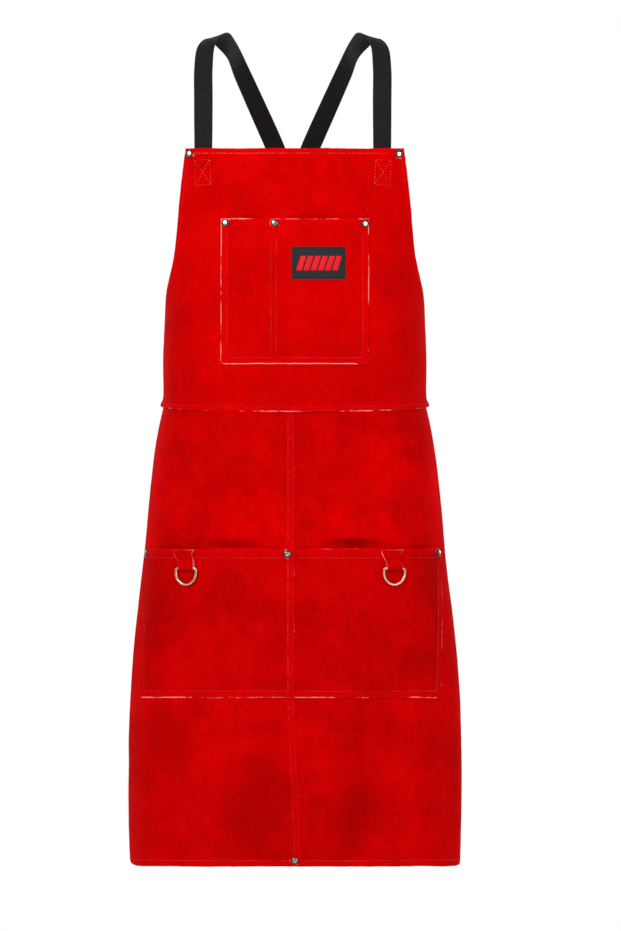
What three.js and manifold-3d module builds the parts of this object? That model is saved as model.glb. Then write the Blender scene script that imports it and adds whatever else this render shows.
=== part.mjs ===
// Leather welding apron, shown as it hangs when worn. Millimetres, +Z up.
// The front faces -Y, and +X is to the right of someone looking at the front.
// "Left" and "right" in names are as that person sees them.
// Origin: over the middle of the bib, level with the middle of the shoulder straps' crests.
import * as THREE from 'three';
import { mergeVertices } from 'three/addons/utils/BufferGeometryUtils.js';
import Module from 'manifold-3d';

const wasm = await Module();
wasm.setup();
const rad = THREE.MathUtils.degToRad;
const vec = (x, y, z) => new THREE.Vector3(x, y, z);

// ---------- driving dimensions ----------
const LEATHER = 1.2;              // thickness of every leather piece
const GAP = 0.6;                  // clearance between layers that touch
const PLY = LEATHER + GAP;
const SIDE_RADIUS = 112;          // radius of the worn form at its sides
const FRONT_ANGLE = rad(20);      // where the broad front arc turns into the side arc
// Worn form: height, half width, depth of its front
const FORM = [
  [-168, 232, -110],
  [-300, 203, -125],
  [-400, 190, -131],
  [-480, 192, -130],
  [-540, 192.8, -126],
  [-575, 199.3, -124],
  [-617, 206.4, -123.5],
  [-677, 213.4, -124],
  [-766, 222.2, -128],
  [-855, 233, -132],
  [-944, 242.6, -136],
  [-1033, 247.4, -139],
  [-1152, 246.5, -143],
  [-1240, 243.5, -146],
];

const BIB_TOP = -168.7;
const BIB_WAIST = -559.5;         // lower edge of the bib at the centre
const WAIST_RISE = 10.5;          // how much higher that edge is at the sides
const WAIST_LAP = 20;             // how far the skirt runs up behind the bib
const WAIST_HALF = 270;           // half the flat width at the waist
const BIB_EASE = 0.4;             // extra clearance between the bib and the skirt
// Flat half width of the bib: height, half width
const BIB_EDGE = [
  [BIB_TOP, 165],
  [-246, 177.4],
  [-320, 191],
  [-352, 205],
  [-394, 236],
  [-424, 256],
  [-470, 268],
  [-570, WAIST_HALF],
];

const HEM = -1236.5;
const HEM_HALF = 307;             // half the flat width at the hem
const HEM_CORNER = 14;
const UNDERLAP = 20;              // right skirt and right pocket run this far under the left ones
const LAP_DRIFT = 10.8;           // how far the lap edge leans over at the hem
const LAP_FLAT = 22;              // lapped layers stay lifted this far from the centre
const LAP_FADE = 95;              // and lie flat again from here
const BROAD_STEP = 30;            // spacing of a panel's columns on the broad front
const SIDE_STEP = 15;             // and on its sides, which start at SIDE_FROM
const SIDE_FROM = 118;
const CROWD = 1.35;               // rows of the bib and skirt crowd together towards the waist

const CHEST = {
  left: -110.4, right: 110.7, top: -273.3, bottom: -490, corner: 7,
  margin: 13, divider: -31, dividerHalf: 10, gape: 11, narrowShare: 0.85,
};
const LABEL = { left: -4, right: 74.2, top: -315.2, bottom: -363.6, thick: 0.8 };
// Lap pockets: flat position of the outer edge at the mouth and at the bottom
const LAP = {
  top: -764, bottom: -986, margin: 18, pastSeam: 10,
  left: { mouthEdge: -264, bottomEdge: -243, gape: 12 },
  right: { mouthEdge: 244.6, bottomEdge: 227.8, gape: 13 },
};

// A pocket's swell: how full it is between its seams, and how fast it grows towards the mouth
const SWELL_FULL = 0.85;
const SWELL_GROW = 1.15;

const WIRE = 1.9;                 // radius of the tool ring's wire
const RING_HALF = 16.6;           // half width of the ring's centre line
const RING_DROP = 24.5;           // from the bar down to the bottom of the centre line
const RING_CORNER = 4;
const RING_SWELL = 6;             // below the bar, where the rounded bow begins
const TAB_TOP_WIDTH = 34;
const TAB_FOLD_WIDTH = 25;
const TAB_REST = 0.5;             // clearance behind a tab, which is flat on a curved panel
const TAB_BAR = -793;             // height of the ring's bar
const TABS = {
  left: { across: -163, shift: 5 },
  right: { across: 142, shift: 3 },
};

const CAP_RADIUS = 5.7;
const CAP_HEIGHT = 2.6;
const SHANK = 1.5;
const SHANK_HOLE = 1.9;
const SHANK_REACH = 30;           // length of the tool that cuts the shanks' holes
const BACK_RADIUS = 4.4;
const BACK_HEIGHT = 0.8;
// Rivets: flat position and height, and the panels they go through from the inside out
const RIVETS = {
  bib_left: { at: [-159, -177], through: ['bib_panel'] },
  bib_right: { at: [157, -177], through: ['bib_panel'] },
  chest_left: { at: [-103, -280], through: ['bib_panel', 'chest_pocket'] },
  chest_middle: { at: [-29.5, -280], through: ['bib_panel', 'chest_pocket'] },
  chest_right: { at: [104, -281], through: ['bib_panel', 'chest_pocket'] },
  lap_left: {
    at: [-250.5, -772], through: ['skirt_panel_left', 'lap_pocket_left'],
  },
  lap_middle: {
    at: [-11, -772],
    through: ['skirt_panel_right', 'skirt_panel_left', 'lap_pocket_right', 'lap_pocket_left'],
  },
  lap_right: {
    at: [234, -771], through: ['skirt_panel_right', 'lap_pocket_right'],
  },
  hem: { at: [0, -1227.5], through: ['skirt_panel_right', 'skirt_panel_left'] },
};

const WEB_WIDTH = 28;
const WEB_THICK = 1.8;
const WEB_SPACE = 2.7;            // between the centres of two webbings that lie on each other
const STRAP_X = 133;              // strap centre on the bib
const STRAP_SHIFT = -3;           // down to where they cross, both straps hang this far off centre
const STRAP_TAIL = -226;          // lower end of the strap behind the bib
const STRAP_PLY = 0.1;            // form offset of the strap's middle behind the bib
const CROSS_SHIFT = 2.2;          // each strap clears the other where they cross
// Shoulder strap's middle line above the bib, for the strap on the right: point, outward side.
// Four points in the lower back are in line and evenly spaced, so the adjuster's run is straight.
const RUN = {
  middle: vec(-102, 97, -378), step: vec(-25.92, -8.64, -39.46), side: vec(-0.5, 0.855, 0.14),
};
const runPoint = (k, side = RUN.side) => [RUN.middle.clone().addScaledVector(RUN.step, k), side];
const STRAP_ROUTE = [
  [vec(133, -79, -100), vec(0.1, -0.95, 0.25)],
  [vec(133, -60, -50), vec(0.14, -0.86, 0.45)],
  [vec(128.5, -32, -15), vec(0.28, -0.55, 0.78)],
  [vec(112, -6, -1.5), vec(0.5, -0.15, 0.85)],
  [vec(92, 30, -20), vec(0.82, 0.3, 0.42)],
  [vec(76, 66, -55), vec(0.62, 0.68, 0.38)],
  [vec(52, 97, -108), vec(0.34, 0.91, 0.24)],
  [vec(27, 115, -164), vec(0.06, 0.99, 0.12)],
  [vec(2, 121, -226), vec(0.02, 1, 0.05)],
  runPoint(-2),
  runPoint(-1),
  runPoint(0),
  runPoint(1),
  runPoint(2, vec(-0.74, 0.66, 0.12)),
];
const CROSSING = 8;               // index of the crossing in STRAP_ROUTE
const RUN_MIDDLE = 11;            // index of the adjuster's place in STRAP_ROUTE

// The ring leans inward from its bar on the tab, so that the strap's end follows the body
const WAIST_RING = { wire: 1.5, half: 16.2, length: 15, corner: 3, lean: rad(18) };
const WAIST_TAB = {
  width: 14, across: 262, height: -540, lift: -7.6, slope: rad(40), sewn: 10, reach: 20,
};
const BELT_LEVEL = -574;
const BELT_START = 236;
const BELT_PLY = -5;              // form offset of the belt's middle, inside the skirt
const BELT_STEPS = 26;
const BELT_TAIL = { bend: 12, end: 34, sag: 3.5 };
const ON_BACK = 700;              // a flat distance that lies on the form's back

const SLIDER = { wire: 1.2, spread: 7.5, leg: 2.2, rim: 1.4, legGap: 0.7 };
const BUCKLE = {
  halfHeight: 18.5, halfThick: 4.5, bar: 33, barHalf: 1.6, slotEnd: 27.2, split: 10.2, round: 4,
  webGap: 0.8, beltEnd: 14, back: 5.4, past: 10,
  cavityEnd: -18, cavityHalf: 13.2, cavityThick: 2.6, windowStart: -14, windowEnd: -4,
  prongEnd: -14, prongHalf: 2.5, prongThick: 1.8, armInner: 8.6, armOuter: 12.6, armEnd: -12,
};

const COLOURS = {
  bib: 0xdc0005, skirt: 0xbe0000, pocket: 0xc80003, webbing: 0x17171a, label: 0x33383a,
  nickel: 0xc9c7c4, brass: 0xe6c09f, plastic: 0x101012,
};
const leather = (colour) => ({ color: colour, roughness: 0.92, metalness: 0 });
const FINISH = {
  bib: leather(COLOURS.bib),
  skirt: leather(COLOURS.skirt),
  pocket: leather(COLOURS.pocket),
  webbing: { color: COLOURS.webbing, roughness: 0.7, metalness: 0 },
  label: { color: COLOURS.label, roughness: 0.6, metalness: 0 },
  nickel: { color: COLOURS.nickel, roughness: 0.25, metalness: 1 },
  brass: { color: COLOURS.brass, roughness: 0.25, metalness: 1 },
  plastic: { color: COLOURS.plastic, roughness: 0.45, metalness: 0 },
};

// ---------- solids ----------
function meshVolume(points, triangles) {
  const sum = (total, [a, b, c]) =>
    total + points[a].dot(vec(0, 0, 0).crossVectors(points[b], points[c]));
  return triangles.reduce(sum, 0) / 6;
}

// Closed geometry from points and triangles, turned so that its faces point out
function solid(points, triangles) {
  const outward = meshVolume(points, triangles) > 0;
  const geometry = new THREE.BufferGeometry();
  geometry.setAttribute('position', new THREE.Float32BufferAttribute(
    points.flatMap((p) => [p.x, p.y, p.z]), 3));
  geometry.setIndex(triangles.flatMap(([a, b, c]) => (outward ? [a, b, c] : [a, c, b])));
  return geometry;
}

function quads(a, b, c, d) {
  return [[a, b, c], [a, c, d]];
}

// Shares of a panel's width at which its columns stand, closer together on the sides
function columnShares(low, high) {
  const shares = [];
  for (let u = low; u < high - 3;) {
    shares.push((u - low) / (high - low));
    u += Math.abs(u + BROAD_STEP / 2) > SIDE_FROM ? SIDE_STEP : BROAD_STEP;
  }
  return [...shares, 1];
}

// Closed panel: corner(s, t, face) for s across, t down, both 0 to 1, face 0 inside or 1 outside
function panel(shares, rows, corner) {
  const columns = shares.length - 1;
  const points = [];
  for (let face = 0; face < 2; face += 1) {
    for (let j = 0; j <= rows; j += 1) {
      shares.forEach((share) => points.push(corner(share, j / rows, face)));
    }
  }
  const at = (i, j, face) => face * (columns + 1) * (rows + 1) + j * (columns + 1) + i;
  const triangles = [];
  for (let j = 0; j < rows; j += 1) {
    for (let i = 0; i < columns; i += 1) {
      triangles.push(...quads(at(i, j, 1), at(i, j + 1, 1), at(i + 1, j + 1, 1), at(i + 1, j, 1)));
      triangles.push(...quads(at(i, j, 0), at(i + 1, j, 0), at(i + 1, j + 1, 0), at(i, j + 1, 0)));
    }
  }
  const rim = [];
  for (let i = 0; i < columns; i += 1) rim.push([i, 0]);
  for (let j = 0; j < rows; j += 1) rim.push([columns, j]);
  for (let i = columns; i > 0; i -= 1) rim.push([i, rows]);
  for (let j = rows; j > 0; j -= 1) rim.push([0, j]);
  rim.forEach(([i, j], k) => {
    const [i2, j2] = rim[(k + 1) % rim.length];
    triangles.push(...quads(at(i, j, 0), at(i, j, 1), at(i2, j2, 1), at(i2, j2, 0)));
  });
  return solid(points, triangles);
}

// Flat strip along frames of {p, n}: middle point and outward side, with a width at each
function strip(frames, thick, widthAt) {
  const points = [];
  frames.forEach(({ p, n }, i) => {
    const ahead = frames[Math.min(i + 1, frames.length - 1)].p;
    const behind = frames[Math.max(i - 1, 0)].p;
    const along = ahead.clone().sub(behind).normalize();
    const across = vec(0, 0, 0).crossVectors(along, n).normalize();
    const out = vec(0, 0, 0).crossVectors(across, along);
    const half = widthAt(i / (frames.length - 1)) / 2;
    [[-1, -1], [1, -1], [1, 1], [-1, 1]].forEach(([w, h]) => {
      points.push(p.clone().addScaledVector(across, w * half).addScaledVector(out, h * thick / 2));
    });
  });
  const triangles = [];
  for (let i = 0; i < frames.length - 1; i += 1) {
    for (let k = 0; k < 4; k += 1) {
      const next = (k + 1) % 4;
      triangles.push(...quads(4 * i + k, 4 * i + next, 4 * i + 4 + next, 4 * i + 4 + k));
    }
  }
  const last = 4 * (frames.length - 1);
  triangles.push(...quads(3, 2, 1, 0), ...quads(last, last + 1, last + 2, last + 3));
  return solid(points, triangles);
}

// Round wire along a closed flat loop of [x, z] points, lying in the XZ plane
function wireLoop(loop, radius, sides) {
  const points = [];
  loop.forEach(([x, z], i) => {
    const [x1, z1] = loop[(i + 1) % loop.length];
    const [x0, z0] = loop[(i + loop.length - 1) % loop.length];
    const side = vec(z1 - z0, 0, x0 - x1).normalize();
    for (let k = 0; k < sides; k += 1) {
      const turn = (2 * Math.PI * k) / sides;
      points.push(vec(x, radius * Math.sin(turn), z).addScaledVector(side, radius * Math.cos(turn)));
    }
  });
  const triangles = [];
  for (let i = 0; i < loop.length; i += 1) {
    const j = (i + 1) % loop.length;
    for (let k = 0; k < sides; k += 1) {
      const next = (k + 1) % sides;
      triangles.push(...quads(i * sides + k, i * sides + next, j * sides + next, j * sides + k));
    }
  }
  return solid(points, triangles);
}

function toManifold(geometry) {
  const bare = geometry.clone();
  bare.deleteAttribute('normal');
  bare.deleteAttribute('uv');
  const merged = mergeVertices(bare);
  return new wasm.Manifold(new wasm.Mesh({
    numProp: 3,
    vertProperties: new Float32Array(merged.attributes.position.array),
    triVerts: new Uint32Array(merged.index.array),
  }));
}

function toGeometry(manifold) {
  const mesh = manifold.getMesh();
  const geometry = new THREE.BufferGeometry();
  geometry.setAttribute('position', new THREE.Float32BufferAttribute(mesh.vertProperties, 3));
  geometry.setIndex(new THREE.Uint32BufferAttribute(mesh.triVerts, 1));
  return geometry;
}

const join = (geometries) =>
  toGeometry(geometries.map(toManifold).reduce((whole, piece) => whole.add(piece)));
const cut = (geometry, tools) =>
  toGeometry(tools.map(toManifold).reduce((whole, tool) => whole.subtract(tool), toManifold(geometry)));

// Box from its low and high corners
function block(low, high) {
  const size = high.clone().sub(low);
  const centre = low.clone().add(high).multiplyScalar(0.5);
  return new THREE.BoxGeometry(size.x, size.y, size.z).translate(centre.x, centre.y, centre.z);
}

// ---------- the worn form ----------
// Smooth curve through rows of [height, value, ...], highest row first
function profile(rows, z, column) {
  let i = 0;
  while (i < rows.length - 2 && z < rows[i + 1][0]) i += 1;
  const slope = (k) => {
    const above = rows[Math.max(k - 1, 0)];
    const below = rows[Math.min(k + 1, rows.length - 1)];
    return (below[column] - above[column]) / (below[0] - above[0]);
  };
  const span = rows[i + 1][0] - rows[i][0];
  const t = THREE.MathUtils.clamp((z - rows[i][0]) / span, 0, 1);
  const blend = t * t * (3 - 2 * t);
  return rows[i][column] * (1 - blend) + rows[i + 1][column] * blend
    + span * slope(i) * t * (1 - t) * (1 - t) - span * slope(i + 1) * t * t * (1 - t);
}

// Radius of the broad arc across the front or back
const broadRadius = (z) => (profile(FORM, z, 1) - SIDE_RADIUS * (1 - Math.sin(FRONT_ANGLE)))
  / Math.sin(FRONT_ANGLE);

// The form at flat distance u from the centre front: arc centre, radius and angle from the front
function section(u, z) {
  const broad = broadRadius(z);
  const front = profile(FORM, z, 2);
  const inset = broad - SIDE_RADIUS;
  const sideStart = broad * FRONT_ANGLE;
  const backStart = sideStart + SIDE_RADIUS * (Math.PI - 2 * FRONT_ANGLE);
  const arc = Math.abs(u);
  if (arc <= sideStart) return { x: 0, y: front + broad, radius: broad, angle: arc / broad };
  if (arc <= backStart) {
    return {
      x: inset * Math.sin(FRONT_ANGLE),
      y: front + broad - inset * Math.cos(FRONT_ANGLE),
      radius: SIDE_RADIUS,
      angle: FRONT_ANGLE + (arc - sideStart) / SIDE_RADIUS,
    };
  }
  return {
    x: 0,
    y: front + broad - 2 * inset * Math.cos(FRONT_ANGLE),
    radius: broad,
    angle: Math.PI - FRONT_ANGLE + (arc - backStart) / broad,
  };
}

function formPoint(u, z, lift) {
  const { x, y, radius, angle } = section(u, z);
  const side = u < 0 ? -1 : 1;
  return vec(side * (x + (radius + lift) * Math.sin(angle)), y - (radius + lift) * Math.cos(angle), z);
}

function formNormal(u, z) {
  const { angle } = section(u, z);
  return vec((u < 0 ? -1 : 1) * Math.sin(angle), -Math.cos(angle), 0);
}

// How far one lapped layer is lifted near the centre front
function lapLift(u) {
  return PLY * (1 - THREE.MathUtils.smoothstep(Math.abs(u), LAP_FLAT, LAP_FADE));
}

const mix = THREE.MathUtils.lerp;
const waistEdge = (u) => BIB_WAIST + WAIST_RISE * (u / WAIST_HALF) ** 2;

// Height of a lower edge that is rounded within corner of either end
function roundedEdge(u, low, high, level, corner) {
  const inset = Math.min(u - low, high - u);
  if (inset >= corner) return level;
  return level + corner - Math.sqrt(Math.max(corner ** 2 - (corner - inset) ** 2, 0));
}

// Swell of a pocket between two seams: none at them or at the bottom, full at the mouth
function swell(u, low, high, height) {
  if (u <= low || u >= high) return 0;
  return Math.sin((Math.PI * (u - low)) / (high - low)) ** SWELL_FULL
    * Math.max(height, 0) ** SWELL_GROW;
}

function bibLift(u, z) {
  return PLY + BIB_EASE + lapLift(u) * THREE.MathUtils.smoothstep(-z, 450, 510);
}

function chestLift(u, z) {
  const height = (z - CHEST.bottom - CHEST.margin) / (CHEST.top - CHEST.bottom - CHEST.margin);
  const narrow = swell(u, CHEST.left + CHEST.margin, CHEST.divider - CHEST.dividerHalf, height);
  const wide = swell(u, CHEST.divider + CHEST.dividerHalf, CHEST.right - CHEST.margin, height);
  return bibLift(u, z) + PLY + CHEST.gape * (CHEST.narrowShare * narrow + wide);
}

function lapEdge(side, z) {
  const t = (z - LAP.top) / (LAP.bottom - LAP.top);
  return mix(LAP[side].mouthEdge, LAP[side].bottomEdge, t);
}

function lapPocketLift(side, u, z) {
  const outer = lapEdge(side, z);
  const inner = side === 'left' ? -LAP.margin : LAP.margin;
  const height = (z - LAP.bottom - LAP.margin) / (LAP.top - LAP.bottom - LAP.margin);
  const ends = side === 'left'
    ? [outer + LAP.margin, inner - LAP.pastSeam] : [inner, outer - LAP.margin];
  const laps = side === 'left' ? 2 : 1;
  return PLY + laps * lapLift(u) + LAP[side].gape * swell(u, ends[0], ends[1], height);
}

// Lift of each panel's inner face off the form
const LIFTS = {
  skirt_panel_right: () => 0,
  skirt_panel_left: (u) => lapLift(u),
  bib_panel: bibLift,
  chest_pocket: chestLift,
  lap_pocket_right: (u, z) => lapPocketLift('right', u, z),
  lap_pocket_left: (u, z) => lapPocketLift('left', u, z),
};

// Matrix that seats a piece on a surface: local X across, Z up, -Y outward
function seat(surface, u, z) {
  const across = surface(u + 1, z).sub(surface(u - 1, z)).normalize();
  const up = surface(u, z + 1).sub(surface(u, z - 1)).normalize();
  const inward = vec(0, 0, 0).crossVectors(up, across).normalize();
  up.crossVectors(across, inward);
  return new THREE.Matrix4().makeBasis(across, inward, up).setPosition(surface(u, z));
}

// ---------- leather ----------
function bibPanel() {
  return panel(columnShares(-WAIST_HALF, WAIST_HALF), 14, (s, t, face) => {
    const span = 2 * s - 1;
    const bottom = waistEdge(span * WAIST_HALF);
    const z = mix(bottom, BIB_TOP, (1 - t) ** CROWD);
    const u = span * profile(BIB_EDGE, z, 1);
    return formPoint(u, z, bibLift(u, z) + face * LEATHER);
  });
}

// Flat position of the lap's edge, which leans over below the pockets
function lapLine(z) {
  return LAP_DRIFT * THREE.MathUtils.clamp((LAP.bottom - z) / (LAP.bottom - HEM), 0, 1);
}

function skirtPanel(side) {
  const flatEdge = (z) => mix(WAIST_HALF, HEM_HALF, (z - BIB_WAIST) / (HEM - BIB_WAIST));
  const span = (z) => (side === 'left' ? [-flatEdge(z), lapLine(z)] : [-UNDERLAP, flatEdge(z)]);
  return panel(columnShares(...span(HEM)), 16, (s, t, face) => {
    const top = waistEdge(mix(...span(BIB_WAIST), s)) + WAIST_LAP;
    const hem = roundedEdge(mix(...span(HEM), s), -HEM_HALF, HEM_HALF, HEM, HEM_CORNER);
    const z = mix(top, hem, t ** CROWD);
    const u = mix(...span(z), s);
    return formPoint(u, z, LIFTS[`skirt_panel_${side}`](u) + face * LEATHER);
  });
}

function chestPocket() {
  const shares = Array.from({ length: 19 }, (_, k) => k / 18);
  return panel(shares, 8, (s, t, face) => {
    const u = mix(CHEST.left, CHEST.right, s);
    const bottom = roundedEdge(u, CHEST.left, CHEST.right, CHEST.bottom, CHEST.corner);
    const z = mix(CHEST.top, bottom, t);
    return formPoint(u, z, chestLift(u, z) + face * LEATHER);
  });
}

function labelPatch() {
  const shares = Array.from({ length: 9 }, (_, k) => k / 8);
  return panel(shares, 4, (s, t, face) => {
    const u = mix(LABEL.left, LABEL.right, s);
    const z = mix(LABEL.top, LABEL.bottom, t);
    return formPoint(u, z, chestLift(u, z) + PLY + face * LABEL.thick);
  });
}

function lapPocket(side) {
  const span = (z) => (side === 'left' ? [lapEdge(side, z), 0] : [-UNDERLAP, lapEdge(side, z)]);
  return panel(columnShares(...span(LAP.top)), 8, (s, t, face) => {
    const z = mix(LAP.top, LAP.bottom, t);
    const u = mix(...span(z), s);
    return formPoint(u, z, lapPocketLift(side, u, z) + face * LEATHER);
  });
}

// Points of a fold in the [out, up] plane: two leaves that part to go round a bar at the origin
function foldLine(barRadius, thick, leaf, closed, length) {
  const turn = barRadius + GAP + thick / 2;
  const front = [[closed.front, length], [closed.front, leaf]];
  const back = [[closed.back, leaf], [closed.back, length]];
  const bow = [];
  for (let k = 0; k <= 8; k += 1) {
    const angle = mix(rad(-20), rad(200), k / 8);
    bow.push([turn * Math.cos(angle), -turn * Math.sin(angle)]);
  }
  return [...front, ...bow, ...back];
}

// Frames of a fold, with local -Y outward, from its [out, up] points
function foldFrames(line, barOut) {
  return line.map(([out, up], i) => {
    const [out1, up1] = line[Math.min(i + 1, line.length - 1)];
    const [out0, up0] = line[Math.max(i - 1, 0)];
    const n = vec(0, up1 - up0, out1 - out0).normalize();
    return { p: vec(0, -(barOut + out), up), n };
  });
}

const TAB_BAR_OUT = TAB_REST + LEATHER + GAP + WIRE;
function ringTab(shift) {
  const back = TAB_REST + LEATHER / 2 - TAB_BAR_OUT;
  const length = LAP.top - 2 - TAB_BAR;
  const line = foldLine(WIRE, LEATHER, 12, { front: back + PLY, back }, length);
  const widthAt = (t) => {
    const up = Math.abs(2 * t - 1);
    return mix(TAB_FOLD_WIDTH, TAB_TOP_WIDTH, THREE.MathUtils.smoothstep(up, 0.75, 1));
  };
  const frames = foldFrames(line, TAB_BAR_OUT);
  frames.forEach(({ p }) => {
    p.x = shift * (1 - THREE.MathUtils.smoothstep(p.z, 2, length));
  });
  return strip(frames, LEATHER, widthAt);
}

// ---------- rings ----------
function toolRing() {
  const loop = [];
  for (let k = 0; k <= 3; k += 1) {
    const angle = mix(Math.PI / 2, 0, k / 3);
    loop.push([RING_HALF - RING_CORNER + RING_CORNER * Math.cos(angle),
      -RING_CORNER + RING_CORNER * Math.sin(angle)]);
  }
  const bow = RING_DROP - RING_SWELL;
  for (let k = 1; k <= 15; k += 1) {
    const angle = mix(0, Math.PI, k / 16);
    loop.push([RING_HALF * Math.cos(angle), -RING_SWELL - bow * Math.sin(angle)]);
  }
  for (let k = 3; k >= 0; k -= 1) {
    const angle = mix(Math.PI / 2, 0, k / 3);
    loop.push([-(RING_HALF - RING_CORNER + RING_CORNER * Math.cos(angle)),
      -RING_CORNER + RING_CORNER * Math.sin(angle)]);
  }
  return wireLoop(loop, WIRE, 8);
}

// Rectangular ring in the XZ plane, one bar through the origin and the other above it
function waistRing() {
  const { wire, half, length, corner } = WAIST_RING;
  const loop = [];
  [[half, 0, -90], [half, length, 0], [-half, length, 90], [-half, 0, 180]].forEach(
    ([x, z, start]) => {
      const centreX = x - Math.sign(x) * corner;
      const centreZ = z === 0 ? corner : z - corner;
      for (let k = 0; k <= 3; k += 1) {
        const angle = rad(start + 30 * k);
        loop.push([centreX + corner * Math.cos(angle), centreZ + corner * Math.sin(angle)]);
      }
    });
  return wireLoop(loop, wire, 8);
}

// ---------- rivets ----------
const ROUND_STEPS = 10;
// Turned about Y, with its length towards -Y, which is outward on a seat
const lathe = (profilePoints) => new THREE.LatheGeometry(
  profilePoints.map(([r, h]) => new THREE.Vector2(r, h)), ROUND_STEPS).rotateX(Math.PI);

function rivetCap() {
  const dome = [[0, 0], [CAP_RADIUS - 0.4, 0], [CAP_RADIUS, 0.5], [CAP_RADIUS * 0.92, 1.4],
    [CAP_RADIUS * 0.6, CAP_HEIGHT - 0.4], [0, CAP_HEIGHT]];
  return lathe(dome);
}

function rivetPost(length) {
  return lathe([[0, -BACK_HEIGHT], [BACK_RADIUS - 0.3, -BACK_HEIGHT], [BACK_RADIUS, 0],
    [SHANK, 0], [SHANK, length], [0, length]]);
}

// A surface at one lift off the form
const liftedForm = (lift) => (u, z) => formPoint(u, z, lift);

function shankHole(rivet) {
  const hole = new THREE.CylinderGeometry(SHANK_HOLE, SHANK_HOLE, SHANK_REACH, ROUND_STEPS);
  return hole.applyMatrix4(seat(liftedForm(0), ...rivet.at));
}

// ---------- webbing ----------
// Uniform Catmull-Rom curve through [point, side] rows; s counts rows
function routeFrame(rows, s) {
  const i = Math.min(Math.floor(s), rows.length - 2);
  const t = s - i;
  const weights = [
    0.5 * (-t + 2 * t * t - t ** 3),
    0.5 * (2 - 5 * t * t + 3 * t ** 3),
    0.5 * (t + 4 * t * t - 3 * t ** 3),
    0.5 * (-t * t + t ** 3),
  ];
  const p = vec(0, 0, 0);
  const n = vec(0, 0, 0);
  weights.forEach((weight, k) => {
    const row = rows[THREE.MathUtils.clamp(i - 1 + k, 0, rows.length - 1)];
    p.addScaledVector(row[0], weight);
    n.addScaledVector(row[1], weight);
  });
  return { p, n: n.normalize() };
}

const mirrorX = (v, side) => vec(side * v.x, v.y, v.z);

// Seat of the waist tab: local Z runs back and up along it, -Y is outward
function waistSeat(side) {
  const { across, height, lift, slope } = WAIST_TAB;
  const surface = (u, z) => formPoint(u, z, lift);
  const level = seat(surface, side * across, height);
  const along = new THREE.Matrix4().makeRotationY(side * (Math.PI / 2 - slope));
  return level.multiply(along);
}

// Distances out from the waist seat
const WAIST_BAR_OUT = TAB_REST + LEATHER + WAIST_RING.wire;
const BAR_TURN = WAIST_RING.wire + GAP + WEB_THICK / 2;
const STRAP_STEP = 24;

// Seat of the waist ring, with its bar on the tab through the origin and leaning inward from it
function waistRingSeat(side) {
  const bar = new THREE.Matrix4().setPosition(0, -WAIST_BAR_OUT, WAIST_TAB.reach);
  const lean = new THREE.Matrix4().makeRotationX(-WAIST_RING.lean);
  return waistSeat(side).multiply(bar).multiply(lean);
}

function waistTab() {
  const { sewn, reach, width } = WAIST_TAB;
  const back = TAB_REST + LEATHER / 2 - WAIST_BAR_OUT;
  const line = foldLine(WAIST_RING.wire, LEATHER, 10, { front: back + PLY, back }, sewn + reach);
  const turned = foldFrames(line, WAIST_BAR_OUT).map(({ p, n }) => (
    { p: vec(p.x, p.y, reach - p.z), n: vec(n.x, n.y, -n.z) }));
  return strip(turned, LEATHER, () => width);
}

// Shoulder strap's rows, from behind the bib to the outer side of the waist ring's far bar
function strapRows(side) {
  const behindBib = [STRAP_TAIL, -198, BIB_TOP].map((z) => {
    const { radius } = section(STRAP_X, z);
    const u = radius * Math.asin((side * STRAP_X + STRAP_SHIFT) / radius);
    return [formPoint(u, z, STRAP_PLY), formNormal(u, z)];
  });
  const route = STRAP_ROUTE.map(([p, n], i) => {
    const point = mirrorX(p, side);
    if (i <= CROSSING) point.x += STRAP_SHIFT;
    if (i === CROSSING) point.y += side * CROSS_SHIFT;
    return [point, mirrorX(n, side).normalize()];
  });
  const atRing = waistRingSeat(-side);
  const out = vec(0, -1, 0).transformDirection(atRing);
  const onRing = (distance) => vec(0, -BAR_TURN, WAIST_RING.length + distance).applyMatrix4(atRing);
  return [...behindBib, ...route, [onRing(STRAP_STEP), out], [onRing(0), out]];
}

// Frames round a bar: from one side of it to the other, along local [out, ahead] directions
function turnFrames(bar, out, ahead, radius, steps) {
  const frames = [];
  for (let k = 0; k <= steps; k += 1) {
    const angle = (Math.PI * k) / steps;
    const n = out.clone().multiplyScalar(Math.cos(angle)).addScaledVector(ahead, Math.sin(angle));
    frames.push({ p: bar.clone().addScaledVector(n, radius), n });
  }
  return frames;
}

const COARSE = 1 / 4;             // step along a strap's route, in rows
const FINE = 1 / 20;              // the same over its last rows, where it twists
const TWIST_ROWS = 2;
// Places along a route from one row number up to another, closer together over the last rows
function routeStops(from, to, last) {
  const stops = [];
  for (let s = from; s < to - FINE / 2; s += s < last - TWIST_ROWS - FINE ? COARSE : FINE) {
    stops.push(s);
  }
  return stops;
}

const TURN_END = 7;               // the strap's turned end runs this far past the bar
function shoulderStrap(side) {
  const rows = strapRows(side);
  const frames = [];
  const last = rows.length - 1;
  routeStops(0, last, last).forEach((s) => frames.push(routeFrame(rows, s)));
  const atRing = waistRingSeat(-side);
  const out = vec(0, -1, 0).transformDirection(atRing);
  const ahead = vec(0, 0, -1).transformDirection(atRing);
  const bar = vec(0, 0, WAIST_RING.length).applyMatrix4(atRing);
  frames.push(...turnFrames(bar, out, ahead, BAR_TURN, 6));
  const end = frames[frames.length - 1];
  frames.push({ p: end.p.clone().addScaledVector(ahead, -TURN_END), n: end.n });
  return strip(frames, WEB_THICK, () => WEB_WIDTH);
}

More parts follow.
